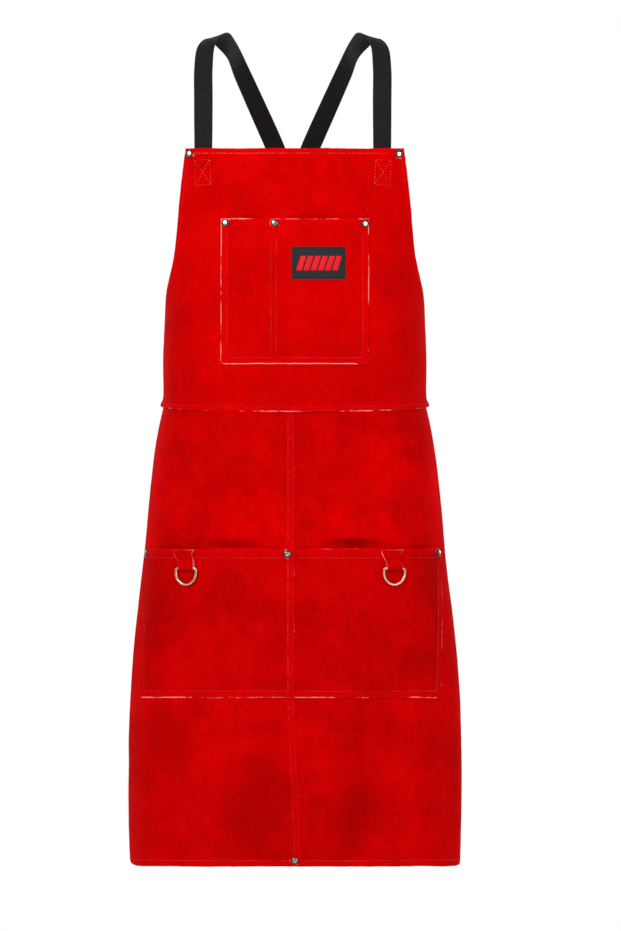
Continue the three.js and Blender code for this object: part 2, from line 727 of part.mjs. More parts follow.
const BACK_ROWS = 3;              // rows behind the bib, ahead of STRAP_ROUTE
const SLIDER_OUT = 2 * WEB_SPACE;
const SLIDER_TURN = SLIDER.wire + GAP + WEB_THICK / 2;
const RETURN = { start: 0.6, parting: 2.8, parted: 0.4 };   // in rows before the ring
const TAIL = 24;                  // sewn end beyond the adjuster's bar
const TAIL_SETTLE = 1.4;          // how far that end leans back onto the webbing it is sewn to

// Webbing that runs back up from the waist ring to the adjuster and round its middle bar
function strapReturn(side) {
  const rows = strapRows(side);
  const last = rows.length - 1;
  const finish = BACK_ROWS + RUN_MIDDLE;
  const start = last - RETURN.start;
  const stops = [...routeStops(finish, start, last), start].reverse();
  stops.pop();
  const frames = stops.map((s) => {
    const { p, n } = routeFrame(rows, s);
    const parting = THREE.MathUtils.smoothstep(s, last - RETURN.parting, last - RETURN.parted);
    return { p: p.addScaledVector(n, -mix(WEB_SPACE, 2 * BAR_TURN, parting)), n };
  });
  const { p, n } = routeFrame(rows, finish);
  const up = RUN.step.clone().multiply(vec(side, 1, 1)).normalize().negate();
  const bar = p.clone().addScaledVector(n, -SLIDER_OUT);
  frames.push(...turnFrames(bar, n, up, SLIDER_TURN, 6));
  const end = frames[frames.length - 1];
  [[0.5, 0.7], [1, 1]].forEach(([share, settle]) => frames.push({
    p: end.p.clone().addScaledVector(up, -share * TAIL).addScaledVector(n, settle * TAIL_SETTLE),
    n: end.n,
  }));
  return strip(frames, WEB_THICK, () => WEB_WIDTH);
}

// Three-bar adjuster: local X across the webbing, Z along it, -Y outward
function strapAdjuster() {
  const { wire, spread, leg, rim } = SLIDER;
  const legOut = WEB_WIDTH / 2 + SLIDER.legGap;
  const outer = WEB_THICK / 2 + GAP + wire;
  const bar = (z, y) => new THREE.CylinderGeometry(wire, wire, 2 * legOut + leg, 10)
    .rotateZ(Math.PI / 2).translate(0, y, z);
  const outline = new THREE.Shape([
    [-spread - rim, -outer - rim], [spread + rim, -outer - rim], [spread + rim, -outer + rim],
    [rim * 1.4, SLIDER_OUT + rim], [-rim * 1.4, SLIDER_OUT + rim], [-spread - rim, -outer + rim],
  ].map(([z, y]) => new THREE.Vector2(z, y)));
  const plate = (x) => new THREE.ExtrudeGeometry(outline, { depth: leg, bevelEnabled: false })
    .applyMatrix4(new THREE.Matrix4().makeBasis(vec(0, 0, 1), vec(0, 1, 0), vec(-1, 0, 0)))
    .translate(x, 0, 0);
  return join([plate(-legOut), plate(legOut + leg), bar(-spread, -outer), bar(spread, -outer),
    bar(0, SLIDER_OUT)]);
}

function sliderSeat(side) {
  const { p, n } = routeFrame(strapRows(side), BACK_ROWS + RUN_MIDDLE);
  const up = RUN.step.clone().multiply(vec(side, 1, 1)).normalize().negate();
  const inward = n.clone().addScaledVector(up, -n.dot(up)).normalize().negate();
  const across = vec(0, 0, 0).crossVectors(inward, up);
  return new THREE.Matrix4().makeBasis(across, inward, up).setPosition(p);
}

// ---------- waist belt and buckle ----------
function buckleY() {
  const { y, radius } = section(ON_BACK, BELT_LEVEL);
  return y + radius + BELT_PLY - BUCKLE.bar ** 2 / (2 * radius) - BUCKLE.back;
}

function waistBelt(side) {
  const bar = vec(side * BUCKLE.bar, buckleY(), BELT_LEVEL);
  const turn = BUCKLE.barHalf * Math.SQRT2 + GAP / 2 + WEB_THICK / 2;
  const arcEnd = backArc(BUCKLE.bar + BUCKLE.beltEnd);
  const frames = [];
  for (let k = 0; k <= BELT_STEPS; k += 1) {
    const u = side * mix(BELT_START, arcEnd, k / BELT_STEPS);
    frames.push({ p: formPoint(u, BELT_LEVEL, BELT_PLY), n: formNormal(u, BELT_LEVEL) });
  }
  const out = vec(0, 1, 0);
  const ahead = vec(-side, 0, 0);
  frames.push(...turnFrames(bar, out, ahead, turn, 6));
  const tail = (x, y) => ({ p: vec(side * x, bar.y - y, BELT_LEVEL), n: vec(0, -1, 0) });
  frames.push(tail(BUCKLE.bar + BELT_TAIL.bend, turn));
  frames.push(tail(BUCKLE.bar + BELT_TAIL.end, turn + BELT_TAIL.sag));
  return strip(frames, WEB_THICK, () => WEB_WIDTH);
}

// Flat position on the back of the form at distance x from the centre back
function backArc(x) {
  const broad = broadRadius(BELT_LEVEL);
  const round = 2 * broad * FRONT_ANGLE + SIDE_RADIUS * (Math.PI - 2 * FRONT_ANGLE);
  return round - broad * Math.asin(x / broad);
}

// Buckle half with its webbing bar, for the half on the side of +X, from x = split to the bar
function buckleEnd(low) {
  const { halfHeight, halfThick, bar, barHalf, slotEnd, round, past } = BUCKLE;
  const high = bar + barHalf;
  const outline = new THREE.Shape();
  outline.moveTo(low, -halfHeight);
  outline.lineTo(high - round, -halfHeight);
  outline.absarc(high - round, -halfHeight + round, round, -Math.PI / 2, 0, false);
  outline.absarc(high - round, halfHeight - round, round, 0, Math.PI / 2, false);
  outline.lineTo(low, halfHeight);
  const slab = new THREE.ExtrudeGeometry(outline,
    { depth: 2 * halfThick, bevelEnabled: false, curveSegments: 4 })
    .rotateX(Math.PI / 2).translate(0, halfThick, 0);
  const webHalf = WEB_WIDTH / 2 + BUCKLE.webGap;
  const slot = block(vec(slotEnd, -past, -webHalf), vec(bar - barHalf, past, webHalf));
  const above = block(vec(slotEnd, barHalf, -webHalf), vec(high + past, past, webHalf));
  const below = block(vec(slotEnd, -past, -webHalf), vec(high + past, -barHalf, webHalf));
  return cut(slab, [slot, above, below]);
}

function buckleSocket() {
  const b = BUCKLE;
  const end = buckleEnd(-b.split).scale(-1, 1, 1);
  end.setIndex([...end.index.array].reverse());
  const cavity = block(vec(b.cavityEnd, -b.cavityThick, -b.cavityHalf),
    vec(b.split + 1, b.cavityThick, b.cavityHalf));
  const windows = block(vec(b.windowStart, -b.cavityThick, -b.halfHeight - 1),
    vec(b.windowEnd, b.cavityThick, b.halfHeight + 1));
  return cut(end, [cavity, windows]);
}

function bucklePlug() {
  const b = BUCKLE;
  const start = b.split + GAP;
  const guide = block(vec(b.prongEnd, -b.prongThick, -b.prongHalf),
    vec(start + 1, b.prongThick, b.prongHalf));
  const arm = (low, high) =>
    block(vec(b.armEnd, -b.prongThick, low), vec(start + 1, b.prongThick, high));
  return join([buckleEnd(start), guide, arm(b.armInner, b.armOuter), arm(-b.armOuter, -b.armInner)]);
}

// ---------- assembly ----------
const group = new THREE.Group();
function add(name, geometry, finish, matrix) {
  const mesh = new THREE.Mesh(geometry, new THREE.MeshStandardMaterial(FINISH[finish]));
  mesh.name = name;
  if (matrix) mesh.applyMatrix4(matrix);
  group.add(mesh);
}

const SIDES = { left: -1, right: 1 };
const panels = {
  bib_panel: [bibPanel(), 'bib'],
  skirt_panel_left: [skirtPanel('left'), 'skirt'],
  skirt_panel_right: [skirtPanel('right'), 'skirt'],
  chest_pocket: [chestPocket(), 'bib'],
  lap_pocket_left: [lapPocket('left'), 'pocket'],
  lap_pocket_right: [lapPocket('right'), 'pocket'],
};
Object.entries(panels).forEach(([name, [geometry, finish]]) => {
  const holes = Object.values(RIVETS).filter((rivet) => rivet.through.includes(name));
  add(name, cut(geometry, holes.map(shankHole)), finish);
});
add('label_patch', labelPatch(), 'label');

Object.entries(RIVETS).forEach(([name, rivet]) => {
  const inner = LIFTS[rivet.through[0]](...rivet.at);
  const outer = LIFTS[rivet.through[rivet.through.length - 1]](...rivet.at) + LEATHER;
  const outside = seat(liftedForm(outer + GAP), ...rivet.at);
  const inside = seat(liftedForm(inner - GAP), ...rivet.at);
  add(`rivet_cap_${name}`, rivetCap(), 'nickel', outside);
  add(`rivet_post_${name}`, rivetPost(outer - inner + GAP), 'nickel', inside);
});

Object.entries(SIDES).forEach(([side, sign]) => {
  const pocketFace = (u, z) => formPoint(u, z, lapPocketLift(side, u, z) + LEATHER);
  const tabSeat = seat(pocketFace, TABS[side].across, TAB_BAR);
  add(`ring_tab_${side}`, ringTab(TABS[side].shift), 'pocket', tabSeat);
  const ringPlace = vec(TABS[side].shift, -TAB_BAR_OUT, 0);
  const ringSeat = tabSeat.clone().multiply(new THREE.Matrix4().setPosition(ringPlace));
  add(`tool_ring_${side}`, toolRing(), 'brass', ringSeat);

  add(`shoulder_strap_${side}`, shoulderStrap(sign), 'webbing');
  add(`strap_return_${side}`, strapReturn(sign), 'webbing');
  add(`strap_adjuster_${side}`, strapAdjuster(), 'plastic', sliderSeat(sign));

  add(`waist_tab_${side}`, waistTab(), 'bib', waistSeat(sign));
  add(`waist_ring_${side}`, waistRing(), 'nickel', waistRingSeat(sign));
  add(`waist_belt_${side}`, waistBelt(sign), 'webbing');
});
const buckleSeat = new THREE.Matrix4().setPosition(0, buckleY(), BELT_LEVEL);
add('buckle_socket', buckleSocket(), 'plastic', buckleSeat);
add('buckle_plug', bucklePlug(), 'plastic', buckleSeat);

export default group;
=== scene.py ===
import math
from functools import partial

import bpy
import numpy as np
from mathutils import Matrix, Vector


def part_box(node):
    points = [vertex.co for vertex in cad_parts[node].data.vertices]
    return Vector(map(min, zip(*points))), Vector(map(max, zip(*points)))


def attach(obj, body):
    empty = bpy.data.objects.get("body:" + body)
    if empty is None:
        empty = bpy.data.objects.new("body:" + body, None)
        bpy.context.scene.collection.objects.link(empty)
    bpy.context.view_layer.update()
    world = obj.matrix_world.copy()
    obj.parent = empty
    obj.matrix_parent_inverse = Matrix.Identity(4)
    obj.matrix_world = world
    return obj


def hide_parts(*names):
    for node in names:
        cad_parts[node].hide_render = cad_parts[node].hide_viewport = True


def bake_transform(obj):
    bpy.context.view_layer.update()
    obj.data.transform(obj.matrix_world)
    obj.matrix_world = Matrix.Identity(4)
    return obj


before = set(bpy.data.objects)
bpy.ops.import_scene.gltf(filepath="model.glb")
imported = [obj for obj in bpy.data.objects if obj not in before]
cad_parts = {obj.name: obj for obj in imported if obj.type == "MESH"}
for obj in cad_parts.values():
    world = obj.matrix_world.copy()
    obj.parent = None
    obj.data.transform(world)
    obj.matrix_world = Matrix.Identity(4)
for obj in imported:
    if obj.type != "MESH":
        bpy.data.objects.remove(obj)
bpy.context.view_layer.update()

MM = 0.001

# ---------- dimensions shared with the CAD model ----------
LEATHER = 1.2
GAP = 0.6
PLY = LEATHER + GAP
SIDE_RADIUS = 112
FRONT_ANGLE = math.radians(20)
# Worn form: height, half width, depth of its front
FORM = np.array([
    (-168, 232, -110), (-300, 203, -125), (-400, 190, -131), (-480, 192, -130),
    (-540, 192.8, -126), (-575, 199.3, -124), (-617, 206.4, -123.5), (-677, 213.4, -124),
    (-766, 222.2, -128), (-855, 233, -132), (-944, 242.6, -136), (-1033, 247.4, -139),
    (-1152, 246.5, -143), (-1240, 243.5, -146),
])
BIB_TOP = -168.7
BIB_WAIST = -561          # the seam droops a little lower and flatter than the CAD solid's edge
WAIST_RISE = 8.3
WAIST_LAP = 20
WAIST_HALF = 270
BIB_EASE = 0.4
BIB_FLARE = -450          # below here the bib rises over the skirt's lap
# Flat half width of the bib: height, half width
BIB_EDGE = np.array([
    (BIB_TOP, 165), (-246, 177.4), (-320, 191), (-352, 205), (-394, 236), (-424, 256),
    (-470, 268), (-570, WAIST_HALF),
])
HEM = -1236.5
HEM_HALF = 307
HEM_SWEEP = 52            # the hem rises towards its corners over this far
HEM_RISE = 13
UNDERLAP = 20
LAP_DRIFT = 10.8
LAP_FLAT = 22
LAP_FADE = 95
CHEST = {"left": -110.4, "right": 110.7, "top": -273.3, "bottom": -490, "corner": 7,
         "margin": 13, "divider": -31, "divider_half": 10, "gape": 11, "narrow_share": 0.85}
LABEL = {"left": -4, "right": 74.2, "top": -315.2, "bottom": -363.6, "thick": 0.8}
LAP = {"top": -764, "bottom": -986, "margin": 18, "past_seam": 10,
       "left": {"mouth": -264, "foot": -243, "gape": 12},
       "right": {"mouth": 244.6, "foot": 227.8, "gape": 13}}
# A pocket's swell: how full it is between its seams, and how fast it grows towards the mouth
SWELL_FULL = 0.85
SWELL_GROW = 1.15

RING_WIRE = 1.9
RING_HALF = 16.6
RING_DROP = 24.5
RING_CORNER = 4
RING_SWELL = 6
TAB_TOP_WIDTH = 34
TAB_FOLD_WIDTH = 25
TAB_REST = 0.5
TAB_BAR = -793
TABS = {"left": {"across": -163, "shift": 5}, "right": {"across": 142, "shift": 3}}
TAB_BAR_OUT = TAB_REST + LEATHER + GAP + RING_WIRE

CAP_RADIUS = 5.7
CAP_HEIGHT = 2.6
BACK_RADIUS = 4.4
BACK_HEIGHT = 0.8
SHANK = 1.5
# Rivets: flat position and height, innermost panel, outermost panel
RIVETS = {
    "bib_left": (-159, -177, "bib_panel", "bib_panel"),
    "bib_right": (157, -177, "bib_panel", "bib_panel"),
    "chest_left": (-103, -280, "bib_panel", "chest_pocket"),
    "chest_middle": (-29.5, -280, "bib_panel", "chest_pocket"),
    "chest_right": (104, -281, "bib_panel", "chest_pocket"),
    "lap_left": (-250.5, -772, "skirt_panel_left", "lap_pocket_left"),
    "lap_middle": (-11, -772, "skirt_panel_right", "lap_pocket_left"),
    "lap_right": (234, -771, "skirt_panel_right", "lap_pocket_right"),
    "hem": (0, -1227.5, "skirt_panel_right", "skirt_panel_left"),
}

WEB_WIDTH = 28
WEB_THICK = 1.8
WEB_SPACE = 2.7
STRAP_X = 133
STRAP_TAIL = -226
STRAP_PLY = 0.1
STRAP_SHIFT = -3          # down to their crossing, both straps hang this far off centre
CROSS_SHIFT = 2.2
RUN_MIDDLE = np.array((-102, 97, -378.0))
RUN_STEP = np.array((-25.92, -8.64, -39.46))
RUN_SIDE = (-0.5, 0.855, 0.14)


def run_point(k, side=RUN_SIDE):
    return tuple(RUN_MIDDLE + k * RUN_STEP), side


# Shoulder strap's middle line above the bib, for the strap on the right: point, outward side
STRAP_ROUTE = [
    ((133, -79, -100), (0.1, -0.95, 0.25)),
    ((133, -60, -50), (0.14, -0.86, 0.45)),
    ((128.5, -32, -15), (0.28, -0.55, 0.78)),
    ((112, -6, -1.5), (0.5, -0.15, 0.85)),
    ((92, 30, -20), (0.82, 0.3, 0.42)),
    ((76, 66, -55), (0.62, 0.68, 0.38)),
    ((52, 97, -108), (0.34, 0.91, 0.24)),
    ((27, 115, -164), (0.06, 0.99, 0.12)),
    ((2, 121, -226), (0.02, 1, 0.05)),
    run_point(-2), run_point(-1), run_point(0), run_point(1),
    run_point(2, (-0.74, 0.66, 0.12)),
]
CROSSING = 8
BACK_ROWS = 3
RUN_ROW = BACK_ROWS + 11
STRAP_STEP = 24
TURN_END = 7
TAIL = 24
TAIL_SETTLE = 1.4
RETURN = {"start": 0.6, "parting": 2.8, "parted": 0.4}     # in rows before the ring
BELT_TAIL = {"bend": 12, "end": 34, "sag": 3.5}

WAIST_RING = {"wire": 1.5, "half": 16.2, "length": 15, "corner": 3, "lean": math.radians(18)}
WAIST_TAB = {"width": 14, "across": 262, "height": -540, "lift": -7.6, "slope": math.radians(40),
             "sewn": 10, "reach": 20}
WAIST_BAR_OUT = TAB_REST + LEATHER + WAIST_RING["wire"]
BAR_TURN = WAIST_RING["wire"] + GAP + WEB_THICK / 2
SLIDER_WIRE = 1.2
SLIDER_OUT = 2 * WEB_SPACE
SLIDER_TURN = SLIDER_WIRE + GAP + WEB_THICK / 2
BELT_LEVEL = -574
BELT_START = 236
BELT_PLY = -5
BUCKLE_BAR = 33
BUCKLE_BAR_HALF = 1.6

# ---------- sizes of the fine surface ----------
GRID = 4.0                # spacing of a panel's grid where nothing needs it finer
BEVEL = 1.9               # width of the sloping cut edge
KEEP = 34                 # grid lines this near an edge keep their distance from it
EDGE_BAND = 16            # width of the rubbed band along a panel's edges
WANDER = ((0.45, 38), (0.22, 7))                 # reach and cell of a hand-cut edge's wander
RAGGED = [(0.3, 2.2, 2.2, 23)]                   # rows of layers(): the width of the sloping cut edge,
EDGE_PATCHES = [(0.55, 26, 26, 29), (0.35, 6, 6, 31)]      # the pale patches on cut edges,
THREAD_WEAR = [(0.9, 9, 9, 53), (0.5, 2, 2, 59)]           # and the pale patches on stitches
GROOVE = 0.34             # depth of the channel that a seam pulls into the leather
GROOVE_WIDTH = 1.3
HEM_BAND = 17             # depth of the turned hem at a lap pocket's mouth
HEM_STEP = 0.45           # how far that double layer stands out
PITCH = 4.4               # length of a stitch with its gap
THREAD = 0.27             # radius of the thread
SELVEDGE = 0.93           # share of a strip's half width that is flat
SEAM_TOP = 7.4            # from the bib's top edge to its seam
SEAM_SIDE = 7
SEAM_WAIST = 7
SEAM_POCKET = 10
SEAM_MOUTH = 14
SEAM_LAP = 10
SEAM_HEM = 9
ANCHOR = {"half": 12, "top": -186, "foot": -223, "level": -205.0, "outer": 155,
          "tilts": {-1: 0.07, 1: -0.06}}          # stitched box that holds a shoulder strap
DIVIDER_SEAMS = (-35, -27)
DIVIDER_TOP = -305
DIVIDER_FOOT = -477


# ---------- numbers ----------
def smooth(x):
    t = np.clip(x, 0, 1)
    return t * t * (3 - 2 * t)


def mix(a, b, t):
    return a + (b - a) * t


def bell(x, width):
    return np.exp(-((x / width) ** 2))


def noise(x, y, seed):
    """Smooth value noise from -1 to 1, with cells of one unit."""
    x, y = np.broadcast_arrays(np.asarray(x, float), np.asarray(y, float))
    i, j = np.floor(x), np.floor(y)
    sx, sy = smooth(x - i), smooth(y - j)

    def corner(a, b):
        value = np.sin(a * 127.1 + b * 311.7 + seed * 74.7) * 43758.5453
        return 2 * (value - np.floor(value)) - 1

    low = mix(corner(i, j), corner(i + 1, j), sx)
    high = mix(corner(i, j + 1), corner(i + 1, j + 1), sx)
    return mix(low, high, sy)


def layers(u, z, rows, base=1.0):
    """base plus noises over the leather, one for each row of (height, cell width, cell height, seed)."""
    return sum((height * noise(u / wide, z / tall, seed) for height, wide, tall, seed in rows), base)


def unit(v):
    return v / np.linalg.norm(v, axis=-1, keepdims=True)


# ---------- the worn form ----------
def profile(rows, z, column):
    """Smooth curve through rows of (height, value, ...), highest row first."""
    heights, values = rows[:, 0], rows[:, column]
    count = len(rows)
    above = np.maximum(np.arange(count) - 1, 0)
    below = np.minimum(np.arange(count) + 1, count - 1)
    slopes = (values[below] - values[above]) / (heights[below] - heights[above])
    i = np.searchsorted(-heights[1:-1], -np.asarray(z, float), side="left")
    span = heights[i + 1] - heights[i]
    t = np.clip((z - heights[i]) / span, 0, 1)
    even = mix(values[i], values[i + 1], smooth(t))
    return even + span * slopes[i] * t * (1 - t) ** 2 - span * slopes[i + 1] * t * t * (1 - t)


def section(u, z):
    """Arc centre x and y, radius and angle from the front, at flat distance u from the centre front."""
    sin, cos = math.sin(FRONT_ANGLE), math.cos(FRONT_ANGLE)
    broad = (profile(FORM, z, 1) - SIDE_RADIUS * (1 - sin)) / sin
    front = profile(FORM, z, 2)
    inset = broad - SIDE_RADIUS
    side_start = broad * FRONT_ANGLE
    back_start = side_start + SIDE_RADIUS * (math.pi - 2 * FRONT_ANGLE)
    arc = np.abs(u)
    on_front, on_back = arc <= side_start, arc > back_start
    x = np.where(on_front | on_back, 0, inset * sin)
    y = front + broad - np.where(on_front, 0, np.where(on_back, 2, 1)) * inset * cos
    radius = np.where(on_front | on_back, broad, SIDE_RADIUS)
    on_side = FRONT_ANGLE + (arc - side_start) / SIDE_RADIUS
    behind = math.pi - FRONT_ANGLE + (arc - back_start) / broad
    angle = np.where(on_front, arc / broad, np.where(on_back, behind, on_side))
    return x, y, radius, angle


def form_point(u, z, lift):
    x, y, radius, angle = section(u, z)
    side = np.where(np.asarray(u) < 0, -1, 1)
    reach = radius + lift
    parts = (side * (x + reach * np.sin(angle)), y - reach * np.cos(angle), z)
    return np.stack(np.broadcast_arrays(*parts), axis=-1).astype(float)


def form_normal(u, z):
    angle = section(u, z)[3]
    side = np.where(np.asarray(u) < 0, -1, 1)
    return np.stack(np.broadcast_arrays(side * np.sin(angle), -np.cos(angle), 0.0), axis=-1)


def lap_lift(u):
    return PLY * (1 - smooth((np.abs(u) - LAP_FLAT) / (LAP_FADE - LAP_FLAT)))


def waist_edge(u):
    return BIB_WAIST + WAIST_RISE * (u / WAIST_HALF) ** 2


def rounded_edge(u, low, high, level, corner):
    """Height of a lower edge that is rounded within corner of either end."""
    inset = np.minimum(np.minimum(u - low, high - u), corner)
    return level + corner - np.sqrt(np.maximum(corner ** 2 - (corner - inset) ** 2, 0))


def hem_edge(u):
    """Height of the hem, which rises in a round corner at both sides."""
    near = np.clip((np.abs(u) - HEM_HALF + HEM_SWEEP) / HEM_SWEEP, 0, 1)
    return HEM + HEM_RISE * (1 - np.sqrt(1 - near ** 2))


def swell(u, low, high, height):
    inside = np.clip((u - low) / (high - low), 0, 1)
    return np.sin(math.pi * inside) ** SWELL_FULL * np.maximum(height, 0) ** SWELL_GROW


def bib_lift(u, z):
    return PLY + BIB_EASE + lap_lift(u) * smooth((BIB_FLARE - z) / 60)


def chest_lift(u, z):
    height = (z - CHEST["bottom"] - CHEST["margin"]) / (CHEST["top"] - CHEST["bottom"] - CHEST["margin"])
    narrow = swell(u, CHEST["left"] + CHEST["margin"], CHEST["divider"] - CHEST["divider_half"], height)
    wide = swell(u, CHEST["divider"] + CHEST["divider_half"], CHEST["right"] - CHEST["margin"], height)
    return bib_lift(u, z) + PLY + CHEST["gape"] * (CHEST["narrow_share"] * narrow + wide)


def lap_edge(side, z):
    return mix(LAP[side]["mouth"], LAP[side]["foot"], (z - LAP["top"]) / (LAP["bottom"] - LAP["top"]))


def lap_pocket_lift(side, u, z):
    outer = lap_edge(side, z)
    height = (z - LAP["bottom"] - LAP["margin"]) / (LAP["top"] - LAP["bottom"] - LAP["margin"])
    if side == "left":
        low, high, laps = outer + LAP["margin"], -LAP["margin"] - LAP["past_seam"], 2
    else:
        low, high, laps = LAP["margin"], outer - LAP["margin"], 1
    return PLY + laps * lap_lift(u) + LAP[side]["gape"] * swell(u, low, high, height)


# Lift of each panel's inner face off the form
LIFTS = {
    "skirt_panel_right": lambda u, z: 0 * u,
    "skirt_panel_left": lambda u, z: lap_lift(u),
    "bib_panel": bib_lift,
    "chest_pocket": chest_lift,
    "lap_pocket_right": partial(lap_pocket_lift, "right"),
    "lap_pocket_left": partial(lap_pocket_lift, "left"),
}

# Soft folds of the skirt: flat place at the hem, lean towards +u per unit of height, width, height
FOLDS = [
    (-226, 0.02, 30, 5.0), (-128, 0.05, 46, 2.6), (-62, -0.03, 26, 1.6), (52, 0.02, 30, 2.0),
    (128, 0.10, 36, 2.8), (226, -0.30, 30, 5.0), (272, -0.04, 22, 3.0),
]
# Uneven hang of all the leather, as rows of layers()
LUMPS = [(0.8, 70, 90, 3), (0.4, 30, 34, 5), (0.12, 11, 12, 7)]
FOLDS_TOP = -640
FOLDS_FULL = 560          # they grow to their full height over this far down
# Where the waist's side seams, the bib's top and the ring tabs hold the leather still
WAIST_HELD = {"height": -551, "half": 34, "from": 190, "over": 40}
TOP_HELD = 60
TAB_HELD = (46, 52)
# The skirt sinks in behind the lap pockets' mouths: flat place, half width, depth
SAGS = [(84, 34, 10), (-90, 60, 3.5)]
# Outward curl of the bib's lower corners
CURL = {"height": -549, "half": 5, "from": 246, "over": 14, "rise": 3}
# Darker patches of the skirt, and painted shadow above the lap pockets' mouths: flat place, height, half
# width, half height, depth
SKIRT_PATCHES_AND_SHADOWS = [
    (-56, -1145, 46, 70, 0.9), (88, -1130, 30, 90, 0.9), (-190, -1020, 40, 60, 0.35),
    # the last two are painted shadow on the skirt above the lap pockets' mouths
    (170, -1040, 36, 50, 0.3), (96, -758, 26, 6, 1.3), (-88, -758, 40, 5, 0.6),
]
PAINTED_SHADE_TOP = -950           # painted shade: between these heights the whole skirt darkens towards its foot
PAINTED_SHADE_FOOT = -1200
SIDE_BAND = {"at": 238, "half": 26}      # painted light: a lighter band down either side of the skirt


def at_side(u, z, spot):
    """1 at a spot's height near both sides of the apron, and 0 away from there."""
    return bell(z - spot["height"], spot["half"]) * smooth((np.abs(u) - spot["from"]) / spot["over"])


def drape(u, z):
    """How far the leather stands off the plain form. It vanishes where hardware is held."""
    low = smooth((FOLDS_TOP - z) / FOLDS_FULL)
    folds = sum(height * bell(u - place - lean * (z - HEM), width)
                for place, lean, width, height in FOLDS)
    lumps = layers(u, z, LUMPS)
    free = 1 - at_side(u, z, WAIST_HELD)
    free = free * smooth((BIB_TOP - z) / TOP_HELD)
    for tab in TABS.values():
        reach = np.hypot((u - tab["across"]) / TAB_HELD[0], (z - TAB_BAR) / TAB_HELD[1])
        free = free * smooth(reach - 0.8)
    return free * (0.8 * lumps + low * folds)


def sag(name, u, z):
    """How far the bib's lower corners curl out, and the skirt sinks in behind the lap pockets' mouths."""
    if name == "bib_panel":
        return CURL["rise"] * at_side(u, z, CURL)
    if not name.startswith("skirt"):
        return 0 * u
    deep = sum(depth * bell(u - place, half) for place, half, depth in SAGS)
    below = LAP["top"] - z
    return -deep * smooth((below + 16) / 9) * smooth((36 - below) / 20)


def hem_band(name, u, z):
    """The turned hem at the mouth of a lap pocket."""
    if not name.startswith("lap_pocket"):
        return 0 * u
    return HEM_STEP * (1 - smooth((LAP["top"] - z - HEM_BAND + 1.5) / 3))


def face_point(name, u, z, out=0.0):
    """Point on the outer face of a panel, or out from it."""
    lift = LIFTS[name](u, z) + drape(u, z) + sag(name, u, z) + LEATHER + hem_band(name, u, z)
    return form_point(u, z, lift + out)


def seat(surface, u, z):
    """Matrix that seats a piece on a surface: local X across, Z up, -Y outward."""
    across = unit(surface(u + 1.0, z) - surface(u - 1.0, z))
    up = unit(surface(u, z + 1.0) - surface(u, z - 1.0))
    inward = unit(np.cross(up, across))
    up = np.cross(across, inward)
    matrix = np.eye(4)
    matrix[:3, 0], matrix[:3, 1], matrix[:3, 2] = across, inward, up
    matrix[:3, 3] = surface(u, z)
    return matrix


def placed(matrix, points):
    return np.asarray(points, float) @ matrix[:3, :3].T + matrix[:3, 3]


# ---------- meshes ----------
def in_scene(name, data):
    item = bpy.data.objects.new(name, data)
    bpy.context.scene.collection.objects.link(item)
    return item


def make_piece(name, points, faces, material, attributes=()):
    """A piece from points in millimetres. attributes are (name, values) pairs, a value or vector a point."""
    mesh = bpy.data.meshes.new(name)
    mesh.from_pydata((np.asarray(points, float) * MM).tolist(), [], faces)
    mesh.polygons.foreach_set("use_smooth", np.ones(len(mesh.polygons), bool))
    for key, values in attributes:
        values = np.asarray(values, np.float32)
        kind = "FLOAT" if values.ndim == 1 else "FLOAT_VECTOR"
        layer = mesh.attributes.new(key, kind, "POINT")
        layer.data.foreach_set("value" if kind == "FLOAT" else "vector", values.ravel())
    mesh.materials.append(material)
    mesh.update()
    piece = in_scene(name, mesh)
    return piece


def stand_in(piece, node, body="root"):
    """Put a piece in the place of a CAD node, on that node's body."""
    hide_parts(node)
    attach(piece, body)
    return piece


def grid_faces(rows, columns, start=0, wrap=False):
    """Quads of a grid of points, row by row. With wrap, the last column joins the first."""
    j, i = np.meshgrid(np.arange(rows - 1), np.arange(columns if wrap else columns - 1), indexing="ij")
    k = (i + 1) % columns
    quads = np.stack([j * columns + i, (j + 1) * columns + i, (j + 1) * columns + k, j * columns + k], -1)
    return (quads.reshape(-1, 4) + start).tolist()


def closed_sheet(outer, inner):
    """Points and faces of the closed body between two grids of points, (rows, columns, 3)."""
    rows, columns = outer.shape[:2]
    size = rows * columns
    faces = grid_faces(rows, columns)
    faces += [face[::-1] for face in grid_faces(rows, columns, size)]
    rim = [(0, i) for i in range(columns - 1)] + [(j, columns - 1) for j in range(rows - 1)]
    rim += [(rows - 1, i) for i in range(columns - 1, 0, -1)] + [(j, 0) for j in range(rows - 1, 0, -1)]
    rim = [j * columns + i for j, i in rim]
    for a, b in zip(rim, rim[1:] + rim[:1]):
        faces.append([a, b, b + size, a + size])
    return np.concatenate([outer.reshape(-1, 3), inner.reshape(-1, 3)]), faces


def grid_lines(low, high, seams=(), step=GRID):
    """Places of a grid's lines from low to high, closer together at both ends and at each seam."""
    near_edge = (0, 0.5, 1.1, BEVEL, BEVEL + 0.7, BEVEL + 2)
    near_seam = (-3, -1.8, -0.9, -0.3, 0.3, 0.9, 1.8, 3)
    marks = {low + d for d in near_edge} | {high - d for d in near_edge}
    marks |= {seam + d for seam in seams for d in near_seam}
    marks = sorted(m for m in marks if low <= m <= high)
    lines = []
    for a, b in zip(marks, marks[1:]):
        count = max(1, math.ceil((b - a) / step))
        lines += [mix(a, b, k / count) for k in range(count)]
    return np.array(lines + [marks[-1]])


def spread(places, old_low, old_high, low, high):
    """Places between two old edges moved between new ones. Near an edge they keep their distance to it."""
    stretch = (high - low - 2 * KEEP) / (old_high - old_low - 2 * KEEP)
    middle = low + KEEP + (places - old_low - KEEP) * stretch
    near_high = np.where(old_high - places < KEEP, high - (old_high - places), middle)
    return np.where(places - old_low < KEEP, low + (places - old_low), near_high)


def wobble(along, seed):
    """Sideways wander of a hand-cut edge."""
    return sum(reach * noise(along / cell, seed, seed + k) for k, (reach, cell) in enumerate(WANDER))


